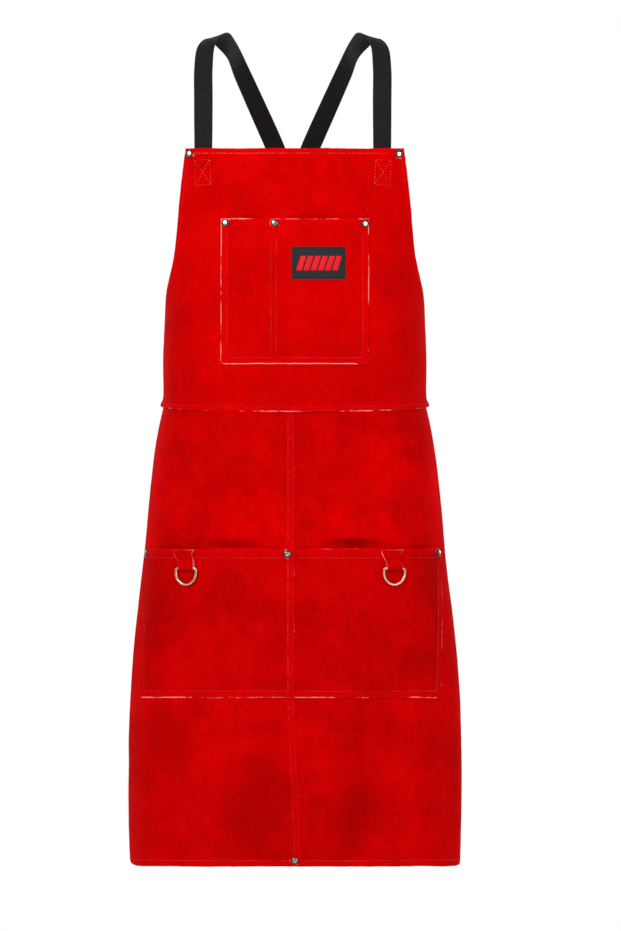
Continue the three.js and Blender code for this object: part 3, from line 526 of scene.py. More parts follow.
def panel_places(columns, rows, span, top, bottom):
    """Flat places of a panel's grid, and their distances from its left, right, top and bottom edges."""
    u0, z0 = np.meshgrid(columns, rows)
    low = bottom(u0) + wobble(u0, 11)
    high = top(u0) + wobble(u0, 13)
    z = spread(z0, rows.min(), rows.max(), low, high)
    left, right = span(z)
    left, right = left + wobble(z, 17), right + wobble(z, 19)
    u = spread(u0, columns.min(), columns.max(), left, right)
    return u, z, np.stack([u - left, right - u, high - z, z - low])


def paleness(u, z, distances, pale):
    """How far a panel's cut edges are worn pale."""
    cut = 1 - smooth((distances - 0.45 * BEVEL) / (0.6 * BEVEL))
    worn = np.stack([edge(u) + 0 * u if callable(edge) else edge + 0 * u for edge in pale])
    return np.max(cut * worn, axis=0) * np.clip(layers(u, z, EDGE_PATCHES, 0.5), 0.08, 1)


def leather_panel(name, columns, rows, span, top, bottom, grooves, pale, material):
    """Leather panel on the form.
    columns and rows are its grid lines in flat position and height. span(z) gives its left and right edges,
    top(u) and bottom(u) the others, grooves(u, z) the depth of its seams, and pale how bright its cut edges
    are: left, right, top and bottom, each a number or a function of u."""
    u, z, distances = panel_places(columns, rows, span, top, bottom)
    inset = np.clip(distances / (BEVEL * layers(u, z, RAGGED)), 0, 1)
    thick = LEATHER * np.maximum(np.sqrt(1 - (1 - inset.min(axis=0)) ** 2), 0.1)
    lift = LIFTS[name](u, z) + drape(u, z) + sag(name, u, z)
    outer = form_point(u, z, lift + thick + hem_band(name, u, z) - grooves(u, z))
    inner = form_point(u, z, lift)
    raw = np.maximum(paleness(u, z, distances, pale), scuffs(name, u, z))
    # rubbed edges, and on the skirt painted light down both sides
    rubbed_and_lit = np.maximum(1 - smooth(distances.min(axis=0) / EDGE_BAND), painted_side_light(name, u, z))
    points, faces = closed_sheet(outer, inner)
    # the skirt's darker patches, painted shade towards its foot and painted shadow at the lap pockets'
    # mouths go in as one attribute
    values = (("raw", raw), ("rubbed_and_lit", rubbed_and_lit), ("darkening", skirt_shade_and_patches(name, u, z)))
    attributes = [(key, np.tile(value.ravel(), 2)) for key, value in values]
    return stand_in(make_piece(name + "_leather", points, faces, material, attributes), name)


def scuffs(name, u, z):
    """Pale rubbed spots around the rivets that a panel shows."""
    marks = 0 * u
    for x, height, _, outermost in RIVETS.values():
        if outermost == name:
            reach = np.hypot(u - x, z - height)
            marks = marks + 0.55 * bell(reach - CAP_RADIUS - 0.8, 1.6) * (0.5 + noise(u / 3, z / 3, 37))
    return np.clip(marks, 0, 1)


def skirt_shade_and_patches(name, u, z):
    """Darker patches low on the skirt, painted shade that darkens it towards its foot, and painted shadow
    behind the lap pockets' mouths.
    """
    if not name.startswith("skirt"):
        return 0 * u
    wander = 1 + 0.5 * noise(u / 30, z / 30, 61)
    # painted shade: the skirt darkens towards its foot
    low = 0.3 * smooth((PAINTED_SHADE_TOP - z) / (PAINTED_SHADE_TOP - PAINTED_SHADE_FOOT))
    patches_and_shadows = sum(depth * bell(u - x, wide) * bell(z - height, tall)
                  for x, height, wide, tall, depth in SKIRT_PATCHES_AND_SHADOWS)
    return np.clip(low + wander * patches_and_shadows, 0, 1)


def painted_side_light(name, u, z):
    """Painted light: lighter bands down both sides of the skirt."""
    if not name.startswith("skirt"):
        return 0 * u
    band = bell(np.abs(u) - SIDE_BAND["at"], SIDE_BAND["half"])
    return 0.8 * band * (0.7 + 0.5 * noise(u / 40, z / 90, 67))


def groove_at(distance):
    return GROOVE * bell(distance, GROOVE_WIDTH)


# ---------- leather ----------
def bib_edges(z):
    half = profile(BIB_EDGE, z, 1)
    return -half, half


def bib_grooves(u, z):
    left, right = bib_edges(z)
    side = groove_at(u - left - SEAM_SIDE) + groove_at(right - u - SEAM_SIDE)
    return side + groove_at(BIB_TOP - z - SEAM_TOP) + groove_at(z - waist_edge(u) - SEAM_WAIST)


def skirt_edge(z):
    return mix(WAIST_HALF, HEM_HALF, (z - BIB_WAIST) / (HEM - BIB_WAIST))


def lap_line(z):
    return LAP_DRIFT * np.clip((LAP["bottom"] - z) / (LAP["bottom"] - HEM), 0, 1)


def skirt_edges(side, z):
    if side == "left":
        return -skirt_edge(z), lap_line(z)
    return -UNDERLAP + 0 * z, skirt_edge(z)


def skirt_grooves(side, u, z):
    hem = groove_at(z - hem_edge(u) - SEAM_HEM)
    return hem + (groove_at(u - lap_line(z) + SEAM_LAP) if side == "left" else 0)


def chest_grooves(u, z):
    inside = smooth((DIVIDER_TOP - z) / 4)
    edges = groove_at(u - CHEST["left"] - SEAM_POCKET) + groove_at(CHEST["right"] - u - SEAM_POCKET)
    edges = edges + groove_at(z - CHEST["bottom"] - SEAM_POCKET)
    return edges + inside * sum(groove_at(u - seam) for seam in DIVIDER_SEAMS)


def lap_pocket_edges(side, z):
    if side == "left":
        return lap_edge("left", z), 0 * z
    return -UNDERLAP + 0 * z, lap_edge("right", z)


def lap_pocket_grooves(side, u, z):
    outer = lap_edge(side, z)
    inset = (u - outer) if side == "left" else (outer - u)
    across = groove_at(LAP["top"] - z - SEAM_MOUTH) + groove_at(z - LAP["bottom"] - SEAM_POCKET)
    return across + groove_at(inset - SEAM_POCKET)


def level(height):
    return lambda u: height + 0 * u


def bib_pale(u):
    return 0.6 + 0.7 * np.maximum(bell(u + 30, 50), bell(u - 90, 34))


def make_bib(material):
    return leather_panel(
        "bib_panel", grid_lines(-WAIST_HALF, WAIST_HALF, (SEAM_SIDE - WAIST_HALF, WAIST_HALF - SEAM_SIDE)),
        grid_lines(BIB_WAIST, BIB_TOP, (BIB_TOP - SEAM_TOP, BIB_WAIST + SEAM_WAIST))[::-1],
        bib_edges, level(BIB_TOP), waist_edge, bib_grooves,
        (0.3, 0.3, 0.3, bib_pale), material)


def skirt_top(u):
    return waist_edge(u * WAIST_HALF / HEM_HALF) + WAIST_LAP


def make_skirt(side, material):
    low, high = skirt_edges(side, HEM)
    seams, lap_pale = ((high - SEAM_LAP,), 0.35) if side == "left" else ((), 0.2)
    return leather_panel(
        f"skirt_panel_{side}", grid_lines(low, high, seams),
        grid_lines(HEM, BIB_WAIST + WAIST_LAP, (HEM + SEAM_HEM,))[::-1],
        partial(skirt_edges, side), skirt_top, hem_edge, partial(skirt_grooves, side),
        (0.2, lap_pale, 0.2, 0.3), material)


def make_chest_pocket(material):
    left, right, top, foot = (CHEST[key] for key in ("left", "right", "top", "bottom"))
    return leather_panel(
        "chest_pocket",
        grid_lines(left, right, (*DIVIDER_SEAMS, left + SEAM_POCKET, right - SEAM_POCKET), 3),
        grid_lines(foot, top, (foot + SEAM_POCKET,), 3)[::-1],
        lambda z: (left + 0 * z, right + 0 * z), level(top),
        lambda u: rounded_edge(u, left, right, foot, CHEST["corner"]),
        chest_grooves, (1.6, 1.3, 1.0, 1.6), material)


def make_lap_pocket(side, material):
    low, high = lap_pocket_edges(side, LAP["top"])
    if side == "left":
        seam, pale = low + SEAM_POCKET, (0.3, 0.4, 0.3, lambda u: 0.6 + 0.9 * bell(u + 190, 70))
    else:
        seam, pale = high - SEAM_POCKET, (0.3, 1.2, 0.4, 1.1)
    across = (LAP["bottom"] + SEAM_POCKET, LAP["top"] - SEAM_MOUTH, LAP["top"] - HEM_BAND)
    return leather_panel(
        f"lap_pocket_{side}", grid_lines(low, high, (seam,), 3),
        grid_lines(LAP["bottom"], LAP["top"], across, 3)[::-1], partial(lap_pocket_edges, side),
        level(LAP["top"]), level(LAP["bottom"]), partial(lap_pocket_grooves, side), pale, material)


def make_panels(finish):
    return {
        "bib_panel": make_bib(finish["bib"]),
        "skirt_panel_left": make_skirt("left", finish["skirt"]),
        "skirt_panel_right": make_skirt("right", finish["skirt"]),
        "chest_pocket": make_chest_pocket(finish["bib"]),
        "lap_pocket_left": make_lap_pocket("left", finish["pocket"]),
        "lap_pocket_right": make_lap_pocket("right", finish["pocket"]),
    }


# ---------- stitches ----------
def stitch_shape():
    """One stitch along +X that rises over the surface and dips into it at both ends: points and faces."""
    half = 0.3 * PITCH
    places = np.array([-1, -0.82, -0.45, 0, 0.45, 0.82, 1])
    turns = 2 * math.pi * np.arange(6) / 6
    points = []
    for place in places:
        rise = THREAD * (1.05 - 1.9 * place ** 4)
        size = THREAD * (1 - 0.3 * place ** 4)
        points += [(place * half, size * math.cos(a), rise + size * math.sin(a)) for a in turns]
    faces = [face[::-1] for face in grid_faces(len(places), 6, wrap=True)]
    last = 6 * (len(places) - 1)
    faces += [list(range(5, -1, -1)), [last + k for k in range(6)]]
    return np.array(points), faces


def line_at(line, places):
    """Points of a flat line at distances along it."""
    run = steps_along(line)
    return np.stack([np.interp(places, run, line[:, k]) for k in (0, 1)], -1)


def seam_places(line):
    """Centres and directions of the stitches along a line of flat (u, z) points."""
    line = np.asarray(line, float)
    run = steps_along(line)
    count = max(1, round(run[-1] / PITCH))
    middles = (np.arange(count) + 0.5) * run[-1] / count
    behind, centre, ahead = (line_at(line, middles + step) for step in (-0.5, 0, 0.5))
    return centre, unit(ahead - behind)


def make_stitches(name, lines, surface, material, pale=lambda u, z: 0.2 + 0 * u):
    """All the stitches along flat lines on a surface, as one piece. pale(u, z) is how far they are worn."""
    shape, shape_faces = stitch_shape()
    centre, along = (np.concatenate(parts) for parts in zip(*(seam_places(line) for line in lines)))
    u, z = centre.T
    u, z = (place + 0.12 * noise(u / 2, z / 2, seed) for place, seed in ((u, 41), (z, 43)))
    forward = unit(surface(u + along[:, 0], z + along[:, 1]) - surface(u - along[:, 0], z - along[:, 1]))
    right = unit(surface(u + along[:, 1], z - along[:, 0]) - surface(u - along[:, 1], z + along[:, 0]))
    out = unit(np.cross(right, forward))
    facing = np.einsum("ij,ij->i", out, form_normal(u, z))
    out = out * np.sign(facing)[:, None]
    right = np.cross(out, forward)
    origin = surface(u, z) - GROOVE * 0.8 * out
    points = (origin[:, None] + shape[None, :, 0, None] * forward[:, None]
              + shape[None, :, 1, None] * right[:, None] + shape[None, :, 2, None] * out[:, None])
    size = len(shape)
    faces = [[k * size + i for i in face] for k in range(len(u)) for face in shape_faces]
    worn = pale(u, z) * layers(u, z, THREAD_WEAR)
    attributes = [("raw", np.repeat(np.clip(worn, 0, 1), size))]
    piece = make_piece(name, points.reshape(-1, 3), faces, material, attributes)
    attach(piece, "root")
    return piece


def line_between(a, b, count=24):
    return np.stack([np.linspace(a[0], b[0], count), np.linspace(a[1], b[1], count)], -1)


def joined_corners(corners):
    return [line_between(a, b) for a, b in zip(corners, corners[1:])]


def anchor_lines(middle, tilt):
    """Box with a cross in it that holds a strap behind the bib."""
    half, top, foot = (ANCHOR[key] for key in ("half", "top", "foot"))
    corners = [(-half, top), (half, top), (half, foot), (-half, foot)]
    pivot = (top + foot) / 2
    turned = [(middle + x + (pivot - z) * tilt, z + x * tilt) for x, z in corners]
    order = [(0, 1), (1, 2), (2, 3), (3, 0), (0, 2), (1, 3)]
    return [line_between(turned[a], turned[b], 8) for a, b in order]


def strap_arc(side, z):
    """Flat position of a strap's middle behind the bib."""
    radius = float(section(STRAP_X, z)[2])
    return radius * math.asin((side * STRAP_X + STRAP_SHIFT) / radius)


def bib_wear(u, z):
    """Where the bib's stitches are worn pale: along its top, left of the middle, and on the anchors."""
    top = smooth(z - BIB_TOP + SEAM_TOP + 1.5) * (0.5 + 0.6 * bell(u + 70, 60))
    inside = smooth((z - ANCHOR["foot"] + 3) / 2) * smooth((ANCHOR["top"] + 2 - z) / 2)
    anchors = 0.4 * inside * smooth((ANCHOR["outer"] - np.abs(u)) / 4)
    return np.maximum(np.maximum(top, anchors), 0.06)


def lap_wear(u, z):
    """Where the lap pockets' stitches are worn pale: on the centre seam and at the right side."""
    return 0.2 + 0.2 * bell(u + SEAM_LAP, 4) + 0.25 * bell(u - 235, 20) + 0 * z


def stitch_bib(thread):
    heights = np.linspace(BIB_TOP - SEAM_TOP, BIB_WAIST + WAIST_RISE + SEAM_WAIST, 80)
    half = profile(BIB_EDGE, heights, 1) - SEAM_SIDE
    across = np.linspace(-WAIST_HALF + SEAM_SIDE, WAIST_HALF - SEAM_SIDE, 120)
    lines = [np.stack([-half, heights], -1), np.stack([half, heights], -1),
             line_between((-half[0], heights[0]), (half[0], heights[0])),
             np.stack([across, waist_edge(across) + SEAM_WAIST], -1)]
    for side, tilt in ANCHOR["tilts"].items():
        lines += anchor_lines(strap_arc(side, ANCHOR["level"]), tilt)
    make_stitches("bib_stitches", lines, partial(face_point, "bib_panel"), thread, bib_wear)


def stitch_chest_pocket(thread):
    low, foot = CHEST["left"] + SEAM_POCKET, CHEST["bottom"] + SEAM_POCKET
    high, head = CHEST["right"] - SEAM_POCKET, CHEST["top"] - 2 * SEAM_POCKET
    lines = joined_corners([(low, head), (low, foot), (high, foot), (high, head)])
    lines += [line_between((x, DIVIDER_TOP), (x, DIVIDER_FOOT)) for x in DIVIDER_SEAMS]
    make_stitches("chest_pocket_stitches", lines, partial(face_point, "chest_pocket"), thread)


def stitch_skirt(thread):
    """The hem of both panels, and the seam down the lap above and below the pockets."""
    drop = np.linspace(BIB_WAIST - 4, HEM + 16, 60)
    parts = (drop[drop > LAP["top"] + 4], drop[drop < LAP["bottom"] - 6])
    lines = {"left": [np.stack([lap_line(part) - SEAM_LAP, part], -1) for part in parts], "right": []}
    for side, low, high in (("left", 14 - HEM_HALF, -10), ("right", 14, HEM_HALF - 14)):
        hem = np.linspace(low, high, 90)
        lines[side].append(np.stack([hem, hem_edge(hem) + SEAM_HEM], -1))
        make_stitches(f"skirt_stitches_{side}", lines[side], partial(face_point, f"skirt_panel_{side}"),
                      thread)


def stitch_lap_pocket(side, sign, thread):
    """The pocket's outer side, foot and mouth, which stops on either side of the ring tab."""
    rows = np.linspace(LAP["top"] - 8, LAP["bottom"] + SEAM_POCKET, 40)
    outer = lap_edge(side, rows) - sign * SEAM_POCKET
    inner = -8 if side == "left" else 6
    mouth, foot = LAP["top"] - SEAM_MOUTH, LAP["bottom"] + SEAM_POCKET
    tab = TABS[side]["across"]
    near, far = tab - sign * TAB_TOP_WIDTH / 2, tab + sign * TAB_TOP_WIDTH / 2
    mouth_outer = lap_edge(side, mouth) - sign * SEAM_POCKET
    lines = [np.stack([outer, rows], -1), line_between((inner, mouth), (near, mouth)),
             line_between((far, mouth), (mouth_outer, mouth)),
             line_between((inner, foot), (outer[-1], foot))]
    if side == "left":
        lines.append(line_between((-SEAM_LAP, mouth - 4), (-SEAM_LAP, foot)))
    make_stitches(f"lap_pocket_stitches_{side}", lines, partial(face_point, f"lap_pocket_{side}"), thread,
                  lap_wear)


def make_all_stitches(thread):
    stitch_bib(thread)
    stitch_chest_pocket(thread)
    stitch_skirt(thread)
    for side, sign in (("left", -1), ("right", 1)):
        stitch_lap_pocket(side, sign, thread)


# ---------- strips ----------
def steps_along(line):
    """Distance along a line to each of its points."""
    return np.concatenate([[0], np.cumsum(np.linalg.norm(np.diff(line, axis=0), axis=1))])


def headings(line):
    """Step from the point before to the point after, at each point of a line."""
    return np.concatenate([line[1:], line[-1:]]) - np.concatenate([line[:1], line[:-1]])


def make_strip(name, points, normals, outline, widths, material, pale=1.0):
    """Closed strip along a line. outline is its section, (share of half width, height) pairs that turn once
    round. widths are its left and right half widths at each point of the line."""
    points, normals = np.asarray(points, float), np.asarray(normals, float)
    along = unit(headings(points))
    across = unit(np.cross(along, normals))
    out = np.cross(across, along)
    share, height = np.asarray(outline, float).T
    widths = np.broadcast_to(np.asarray(widths, float), (len(points), 2))
    reach = np.where(share < 0, widths[:, :1] * share, widths[:, 1:] * share)
    grid = points[:, None] + reach[..., None] * across[:, None] + height[None, :, None] * out[:, None]
    steps = steps_along(points)
    rows, columns = grid.shape[:2]
    weave = np.stack([np.broadcast_to(steps[:, None], reach.shape), reach,
                      np.broadcast_to(np.sign(height), reach.shape)], -1)
    ends = np.minimum(steps, steps[-1] - steps)[:, None]
    cut = np.maximum(smooth((np.abs(share) - SELVEDGE) / 0.06)[None], 1 - smooth(ends / 1.5))
    raw = pale * cut * np.clip(0.75 + 0.4 * noise(steps[:, None] / 6, share[None] + 5, 47), 0, 1)
    faces = grid_faces(rows, columns, wrap=True)
    faces += [list(range(columns)), [(rows - 1) * columns + k for k in range(columns)][::-1]]
    solid = grid.reshape(-1, 3)
    faces = facing_out(solid, faces)
    attributes = [("weave", weave.reshape(-1, 3)), ("raw", raw.ravel()), ("rubbed_and_lit", 0.5 * raw.ravel())]
    return make_piece(name, solid, faces, material, attributes)


def facing_out(points, faces):
    """Faces turned so that the closed body's volume is positive."""
    volume = 0
    for face in faces:
        corner = points[face]
        volume += (np.cross(corner[1:-1] - corner[0], corner[2:] - corner[0]) @ corner[0]).sum()
    return faces if volume > 0 else [face[::-1] for face in faces]


def webbing_outline():
    """Section of webbing: shallow ribs along both faces and round selvedges."""
    ribs = 9
    places = np.linspace(-SELVEDGE, SELVEDGE, 4 * ribs + 1)
    face = WEB_THICK / 2 - 0.11 + 0.09 * np.cos(math.pi * ribs * (places / SELVEDGE + 1))
    turn = np.radians(np.linspace(-60, 60, 5))
    edge = [(SELVEDGE + (1 - SELVEDGE) * math.cos(a), 0.8 * math.sin(a)) for a in turn]
    top = [(p, h) for p, h in zip(places[::-1], face[::-1])]
    other = [(-p, h) for p, h in edge[::-1]]
    bottom = [(p, -h) for p, h in zip(places, face)]
    return edge + top + other + bottom


def leather_outline():
    """Section of a leather strip, with its outer face narrower than its inner one."""
    places = np.linspace(-SELVEDGE, SELVEDGE, 17)
    half = LEATHER / 2
    top = [(p, half) for p in places[::-1]]
    bottom = [(p, -half) for p in places]
    return ([(0.97, -half), (1, -half + 0.25), (0.975, half - 0.3)] + top
            + [(-0.975, half - 0.3), (-1, -half + 0.25), (-0.97, -half)] + bottom)


def route_frames(rows, places):
    """Uniform Catmull-Rom curve through rows of (point, side), at places that count rows."""
    points = np.array([row[0] for row in rows], float)
    sides = np.array([row[1] for row in rows], float)
    i = np.minimum(np.floor(places).astype(int), len(rows) - 2)
    t = places - i
    weights = [0.5 * (-t + 2 * t * t - t ** 3), 0.5 * (2 - 5 * t * t + 3 * t ** 3),
               0.5 * (t + 4 * t * t - 3 * t ** 3), 0.5 * (-t * t + t ** 3)]
    point, side = 0, 0
    for k, weight in enumerate(weights):
        row = np.clip(i - 1 + k, 0, len(rows) - 1)
        point = point + weight[:, None] * points[row]
        side = side + weight[:, None] * sides[row]
    return point, unit(side)


def waist_seat(side):
    """Seat of the waist tab and ring: local Z runs back and up along the strap, -Y is outward."""
    across, height = side * WAIST_TAB["across"], WAIST_TAB["height"]
    level = seat(lambda u, z: form_point(u, z, WAIST_TAB["lift"]), across, height)
    turn = np.array(Matrix.Rotation(side * (math.pi / 2 - WAIST_TAB["slope"]), 4, "Y"))
    return level @ turn


def waist_ring_seat(side):
    """Seat of the waist ring, with its bar on the tab through the origin and leaning inward from it."""
    bar = np.array(Matrix.Translation((0, -WAIST_BAR_OUT, WAIST_TAB["reach"])))
    lean = np.array(Matrix.Rotation(-WAIST_RING["lean"], 4, "X"))
    return waist_seat(side) @ bar @ lean


def strap_rows(side):
    """Rows of a shoulder strap, from behind the bib to the outer side of the waist ring's far bar."""
    rows = []
    for z in (STRAP_TAIL, -198, BIB_TOP):
        u = strap_arc(side, float(z))
        rows.append((form_point(u, z, STRAP_PLY), form_normal(u, z)))
    for i, (point, normal) in enumerate(STRAP_ROUTE):
        point, normal = np.array(point, float), unit(np.array(normal, float))
        point[0] *= side
        normal[0] *= side
        if i <= CROSSING:
            point[0] += STRAP_SHIFT
        if i == CROSSING:
            point[1] += side * CROSS_SHIFT
        rows.append((point, normal))
    at_ring = waist_ring_seat(-side)
    out = -at_ring[:3, 1]
    for distance in (STRAP_STEP, 0):
        rows.append((placed(at_ring, (0, -BAR_TURN, WAIST_RING["length"] + distance)), out))
    return rows


def turn_frames(bar, out, ahead, radius, steps=16):
    """Points and sides round a bar, from its out side through ahead to its other side."""
    angles = math.pi * np.arange(steps + 1) / steps
    sides = np.cos(angles)[:, None] * out + np.sin(angles)[:, None] * ahead
    return bar + radius * sides, sides


def with_turn(run, turn, tail):
    """Points and sides of a run of webbing, its turn round a bar, and its tail beyond that."""
    points = np.concatenate([run[0], turn[0], tail])
    return points, np.concatenate([run[1], turn[1], [turn[1][-1]] * len(tail)])


def make_webbing(name, points, sides, material):
    """Webbing in the place of its CAD node, and its length."""
    widths = (WEB_WIDTH / 2, WEB_WIDTH / 2)
    piece = make_strip(name + "_webbing", points, sides, webbing_outline(), widths, material)
    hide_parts(name)
    return piece, line_length(points)


def make_shoulder_strap(name, side, material):
    rows = strap_rows(side)
    last = len(rows) - 1
    at_ring = waist_ring_seat(-side)
    out, ahead = -at_ring[:3, 1], -at_ring[:3, 2]
    turn = turn_frames(placed(at_ring, (0, 0, WAIST_RING["length"])), out, ahead, BAR_TURN)
    tail = [turn[0][-1] - ahead * TURN_END * k / 3 for k in (1, 2, 3)]
    run = route_frames(rows, np.linspace(0, last, 16 * last + 1)[:-1])
    strap, length = make_webbing(name, *with_turn(run, turn, tail), material)
    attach(strap, "root")
    return strap, length


def line_length(points):
    return float(steps_along(points)[-1])


def make_strap_return(name, side, material):
    """Webbing that runs back up from the waist ring to the adjuster and round its middle bar."""
    rows = strap_rows(side)
    last = len(rows) - 1
    places = np.linspace(last - RETURN["start"], RUN_ROW, 90)[:-1]
    points, sides = route_frames(rows, places)
    parting = smooth((places - last + RETURN["parting"]) / (RETURN["parting"] - RETURN["parted"]))
    points = points - mix(WEB_SPACE, 2 * BAR_TURN, parting)[:, None] * sides
    middle, out = (value[0] for value in route_frames(rows, np.array([float(RUN_ROW)])))
    up = unit(-RUN_STEP * np.array((side, 1, 1)))
    bar = middle - out * SLIDER_OUT
    turn = turn_frames(bar, out, up, SLIDER_TURN)
    tail = [turn[0][-1] - up * TAIL * k + out * TAIL_SETTLE * smooth(k) for k in np.linspace(0, 1, 9)[1:]]
    piece, length = make_webbing(name, *with_turn((points, sides), turn, tail), material)
    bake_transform(piece)
    return piece, length


def back_arc(x):
    """Flat position on the back of the form at distance x from the centre back."""
    half = float(profile(FORM, BELT_LEVEL, 1))
    broad = (half - SIDE_RADIUS * (1 - math.sin(FRONT_ANGLE))) / math.sin(FRONT_ANGLE)
    whole = 2 * broad * FRONT_ANGLE + SIDE_RADIUS * (math.pi - 2 * FRONT_ANGLE)
    return whole - broad * math.asin(x / broad)


def make_waist_belt(name, side, material):
    arc_end = back_arc(BUCKLE_BAR + 14)
    u = side * np.linspace(BELT_START, arc_end, 120)
    run = form_point(u, BELT_LEVEL, BELT_PLY), form_normal(u, BELT_LEVEL)
    centre_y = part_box("buckle_socket")[0].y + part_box("buckle_socket")[1].y
    bar = np.array((side * BUCKLE_BAR, centre_y / 2 / MM, BELT_LEVEL))
    radius = BUCKLE_BAR_HALF * math.sqrt(2) + GAP / 2 + WEB_THICK / 2
    turn = turn_frames(bar, np.array((0, 1.0, 0)), np.array((-side, 0.0, 0)), radius)
    tail = []
    for k in np.linspace(0, 1, 12)[1:]:
        along = BELT_TAIL["end"] * k
        sag = BELT_TAIL["sag"] * max(0, along - BELT_TAIL["bend"]) / (BELT_TAIL["end"] - BELT_TAIL["bend"])
        tail.append((side * (BUCKLE_BAR + along), bar[1] - radius - sag, BELT_LEVEL))
    belt, length = make_webbing(name, *with_turn(run, turn, tail), material)
    if side < 0:
        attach(belt, "root")
    else:
        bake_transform(belt)
    return belt, length


def fold_line(bar_radius, leaf, front, back, length):
    """Points of a fold in the (out, up) plane: two leaves that part to go round a bar at the origin."""
    turn = bar_radius + GAP + LEATHER / 2
    angles = np.radians(np.linspace(-20, 200, 19))
    bow = [(turn * math.cos(a), -turn * math.sin(a)) for a in angles]
    corners = [(front, length), (front, leaf), *bow, (back, leaf), (back, length)]
    corners = np.array(corners, float)
    line = line_at(corners, np.linspace(0, steps_along(corners)[-1], 80))
    for _ in range(6):
        line[1:-1] = (line[:-2] + 2 * line[1:-1] + line[2:]) / 4
    return line


def fold_frames(line, bar_out):
    step = headings(line)
    sides = unit(np.stack([0 * step[:, 0], step[:, 1], step[:, 0]], -1))
    return np.stack([0 * line[:, 0], -(bar_out + line[:, 0]), line[:, 1]], -1), sides


def tab_seat(side):
    def pocket_face(u, z):
        return form_point(u, z, lap_pocket_lift(side, u, z) + LEATHER)
    return seat(pocket_face, TABS[side]["across"], TAB_BAR)


def make_ring_tab(side, material):
    """Folded leather tab that holds a tool ring, with wandering cut edges."""
    back = TAB_REST + LEATHER / 2 - TAB_BAR_OUT
    length = LAP["top"] - 2 - TAB_BAR
    line = fold_line(RING_WIRE, 12, back + PLY, back, length)
    points, sides = fold_frames(line, TAB_BAR_OUT)
    shift = TABS[side]["shift"]
    height = points[:, 2].copy()
    points[:, 0] += shift * (1 - smooth((height - 2) / (length - 2)))
    half = mix(TAB_FOLD_WIDTH, TAB_TOP_WIDTH, smooth((height / length - 0.45) / 0.55)) / 2
    wave = 0.9 * np.sin(height / 4.2 + 0.6)
    widths = np.stack([half + wave, half - 0.6 * wave], -1)
    return seated_tab(f"ring_tab_{side}", tab_seat(side), points, sides, widths, material)


def seated_tab(name, at, points, sides, widths, material, pale=1.0):
    """Folded leather tab on its seat, in the place of its CAD node, and its length."""
    tab = make_strip(name + "_leather", placed(at, points), sides @ at[:3, :3].T,
                     leather_outline(), widths, material, pale)
    return stand_in(tab, name), line_length(points)


def make_waist_tab(side_name, side, material):
    back = TAB_REST + LEATHER / 2 - WAIST_BAR_OUT
    length = WAIST_TAB["sewn"] + WAIST_TAB["reach"]
    line = fold_line(WAIST_RING["wire"], 10, back + PLY, back, length)
    points, sides = fold_frames(line, WAIST_BAR_OUT)
    points[:, 2] = WAIST_TAB["reach"] - points[:, 2]
    sides[:, 2] *= -1
    half = WAIST_TAB["width"] / 2
    return seated_tab(f"waist_tab_{side_name}", waist_seat(side), points, sides, (half, half), material,
                      0.2)


# ---------- hardware ----------
def wire_loop(loop, radius, sides=24):
    """Round wire along a closed loop of (x, z) points in the XZ plane: points and faces."""
    loop = np.asarray(loop, float)
    ahead, behind = np.roll(loop, -1, axis=0), np.roll(loop, 1, axis=0)
    step = unit(ahead - behind)
    turns = 2 * math.pi * np.arange(sides) / sides
    x = loop[:, :1] + radius * np.cos(turns) * step[:, 1:]
    z = loop[:, 1:] - radius * np.cos(turns) * step[:, :1]
    y = np.broadcast_to(radius * np.sin(turns), x.shape)
    points = np.stack([x, y, z], -1).reshape(-1, 3)
    faces = [[k % len(points) for k in face] for face in grid_faces(len(loop) + 1, sides, wrap=True)]
    return points, facing_out(points, faces)


def arc_points(centre, radius, start, end, steps):
    angles = np.radians(np.linspace(start, end, steps + 1))
    return [(centre[0] + radius * math.cos(a), centre[1] + radius * math.sin(a)) for a in angles]


def tool_ring_loop():
    flat = RING_HALF - RING_CORNER
    bow = RING_DROP - RING_SWELL
    loop = [(flat * k / 10, 0) for k in range(-10, 10)]
    loop += arc_points((flat, -RING_CORNER), RING_CORNER, 90, 0, 8)
    for angle in np.linspace(0, math.pi, 65)[1:-1]:
        loop.append((RING_HALF * math.cos(angle), -RING_SWELL - bow * math.sin(angle)))
    return loop + arc_points((-flat, -RING_CORNER), RING_CORNER, 180, 90, 8)[:-1]


def waist_ring_loop():
    half, length, corner = (WAIST_RING[key] for key in ("half", "length", "corner"))
    loop = []
    for x, z, start in ((1, 0, -90), (1, 1, 0), (-1, 1, 90), (-1, 0, 180)):
        centre = (x * (half - corner), length - corner if z else corner)
        loop += arc_points(centre, corner, start, start + 90, 8)
    return loop


def make_ring(name, loop, wire, matrix, body, material):
    points, faces = wire_loop(loop, wire)
    stand_in(make_piece(name + "_wire", placed(matrix, points), faces, material), name, body)


def lathe(rows, steps=48):
    """Points and faces of a body turned about -Y from (radius, height) rows; both ends lie on the axis."""
    turns = 2 * math.pi * np.arange(steps) / steps
    points = [(0, -rows[0][1], 0)]
    for radius, height in rows[1:-1]:
        points += [(radius * math.cos(a), -height, radius * math.sin(a)) for a in turns]
    points.append((0, -rows[-1][1], 0))
    count = len(rows) - 2
    faces = grid_faces(count, steps, 1, wrap=True)
    end = len(points) - 1
    for k in range(steps):
        n = (k + 1) % steps
        faces += [[0, 1 + k, 1 + n], [end, 1 + (count - 1) * steps + n, 1 + (count - 1) * steps + k]]
    points = np.array(points)
    return points, facing_out(points, faces)


def cap_rows():
    """Half section of a domed rivet cap with a rolled rim."""
    rim = [(CAP_RADIUS - 0.5 + 0.5 * math.cos(a), 0.5 + 0.5 * math.sin(a))
           for a in np.radians(np.linspace(-90, 40, 8))]
    crown = []
    for t in np.linspace(0.93, 0.02, 16):
        height = 0.75 + (CAP_HEIGHT - 0.75) * math.sqrt(1 - t ** 2.4)
        crown.append((CAP_RADIUS * t, height))
    return [(0, 0), (CAP_RADIUS - 1.2, 0), *rim, *crown, (0, CAP_HEIGHT)]


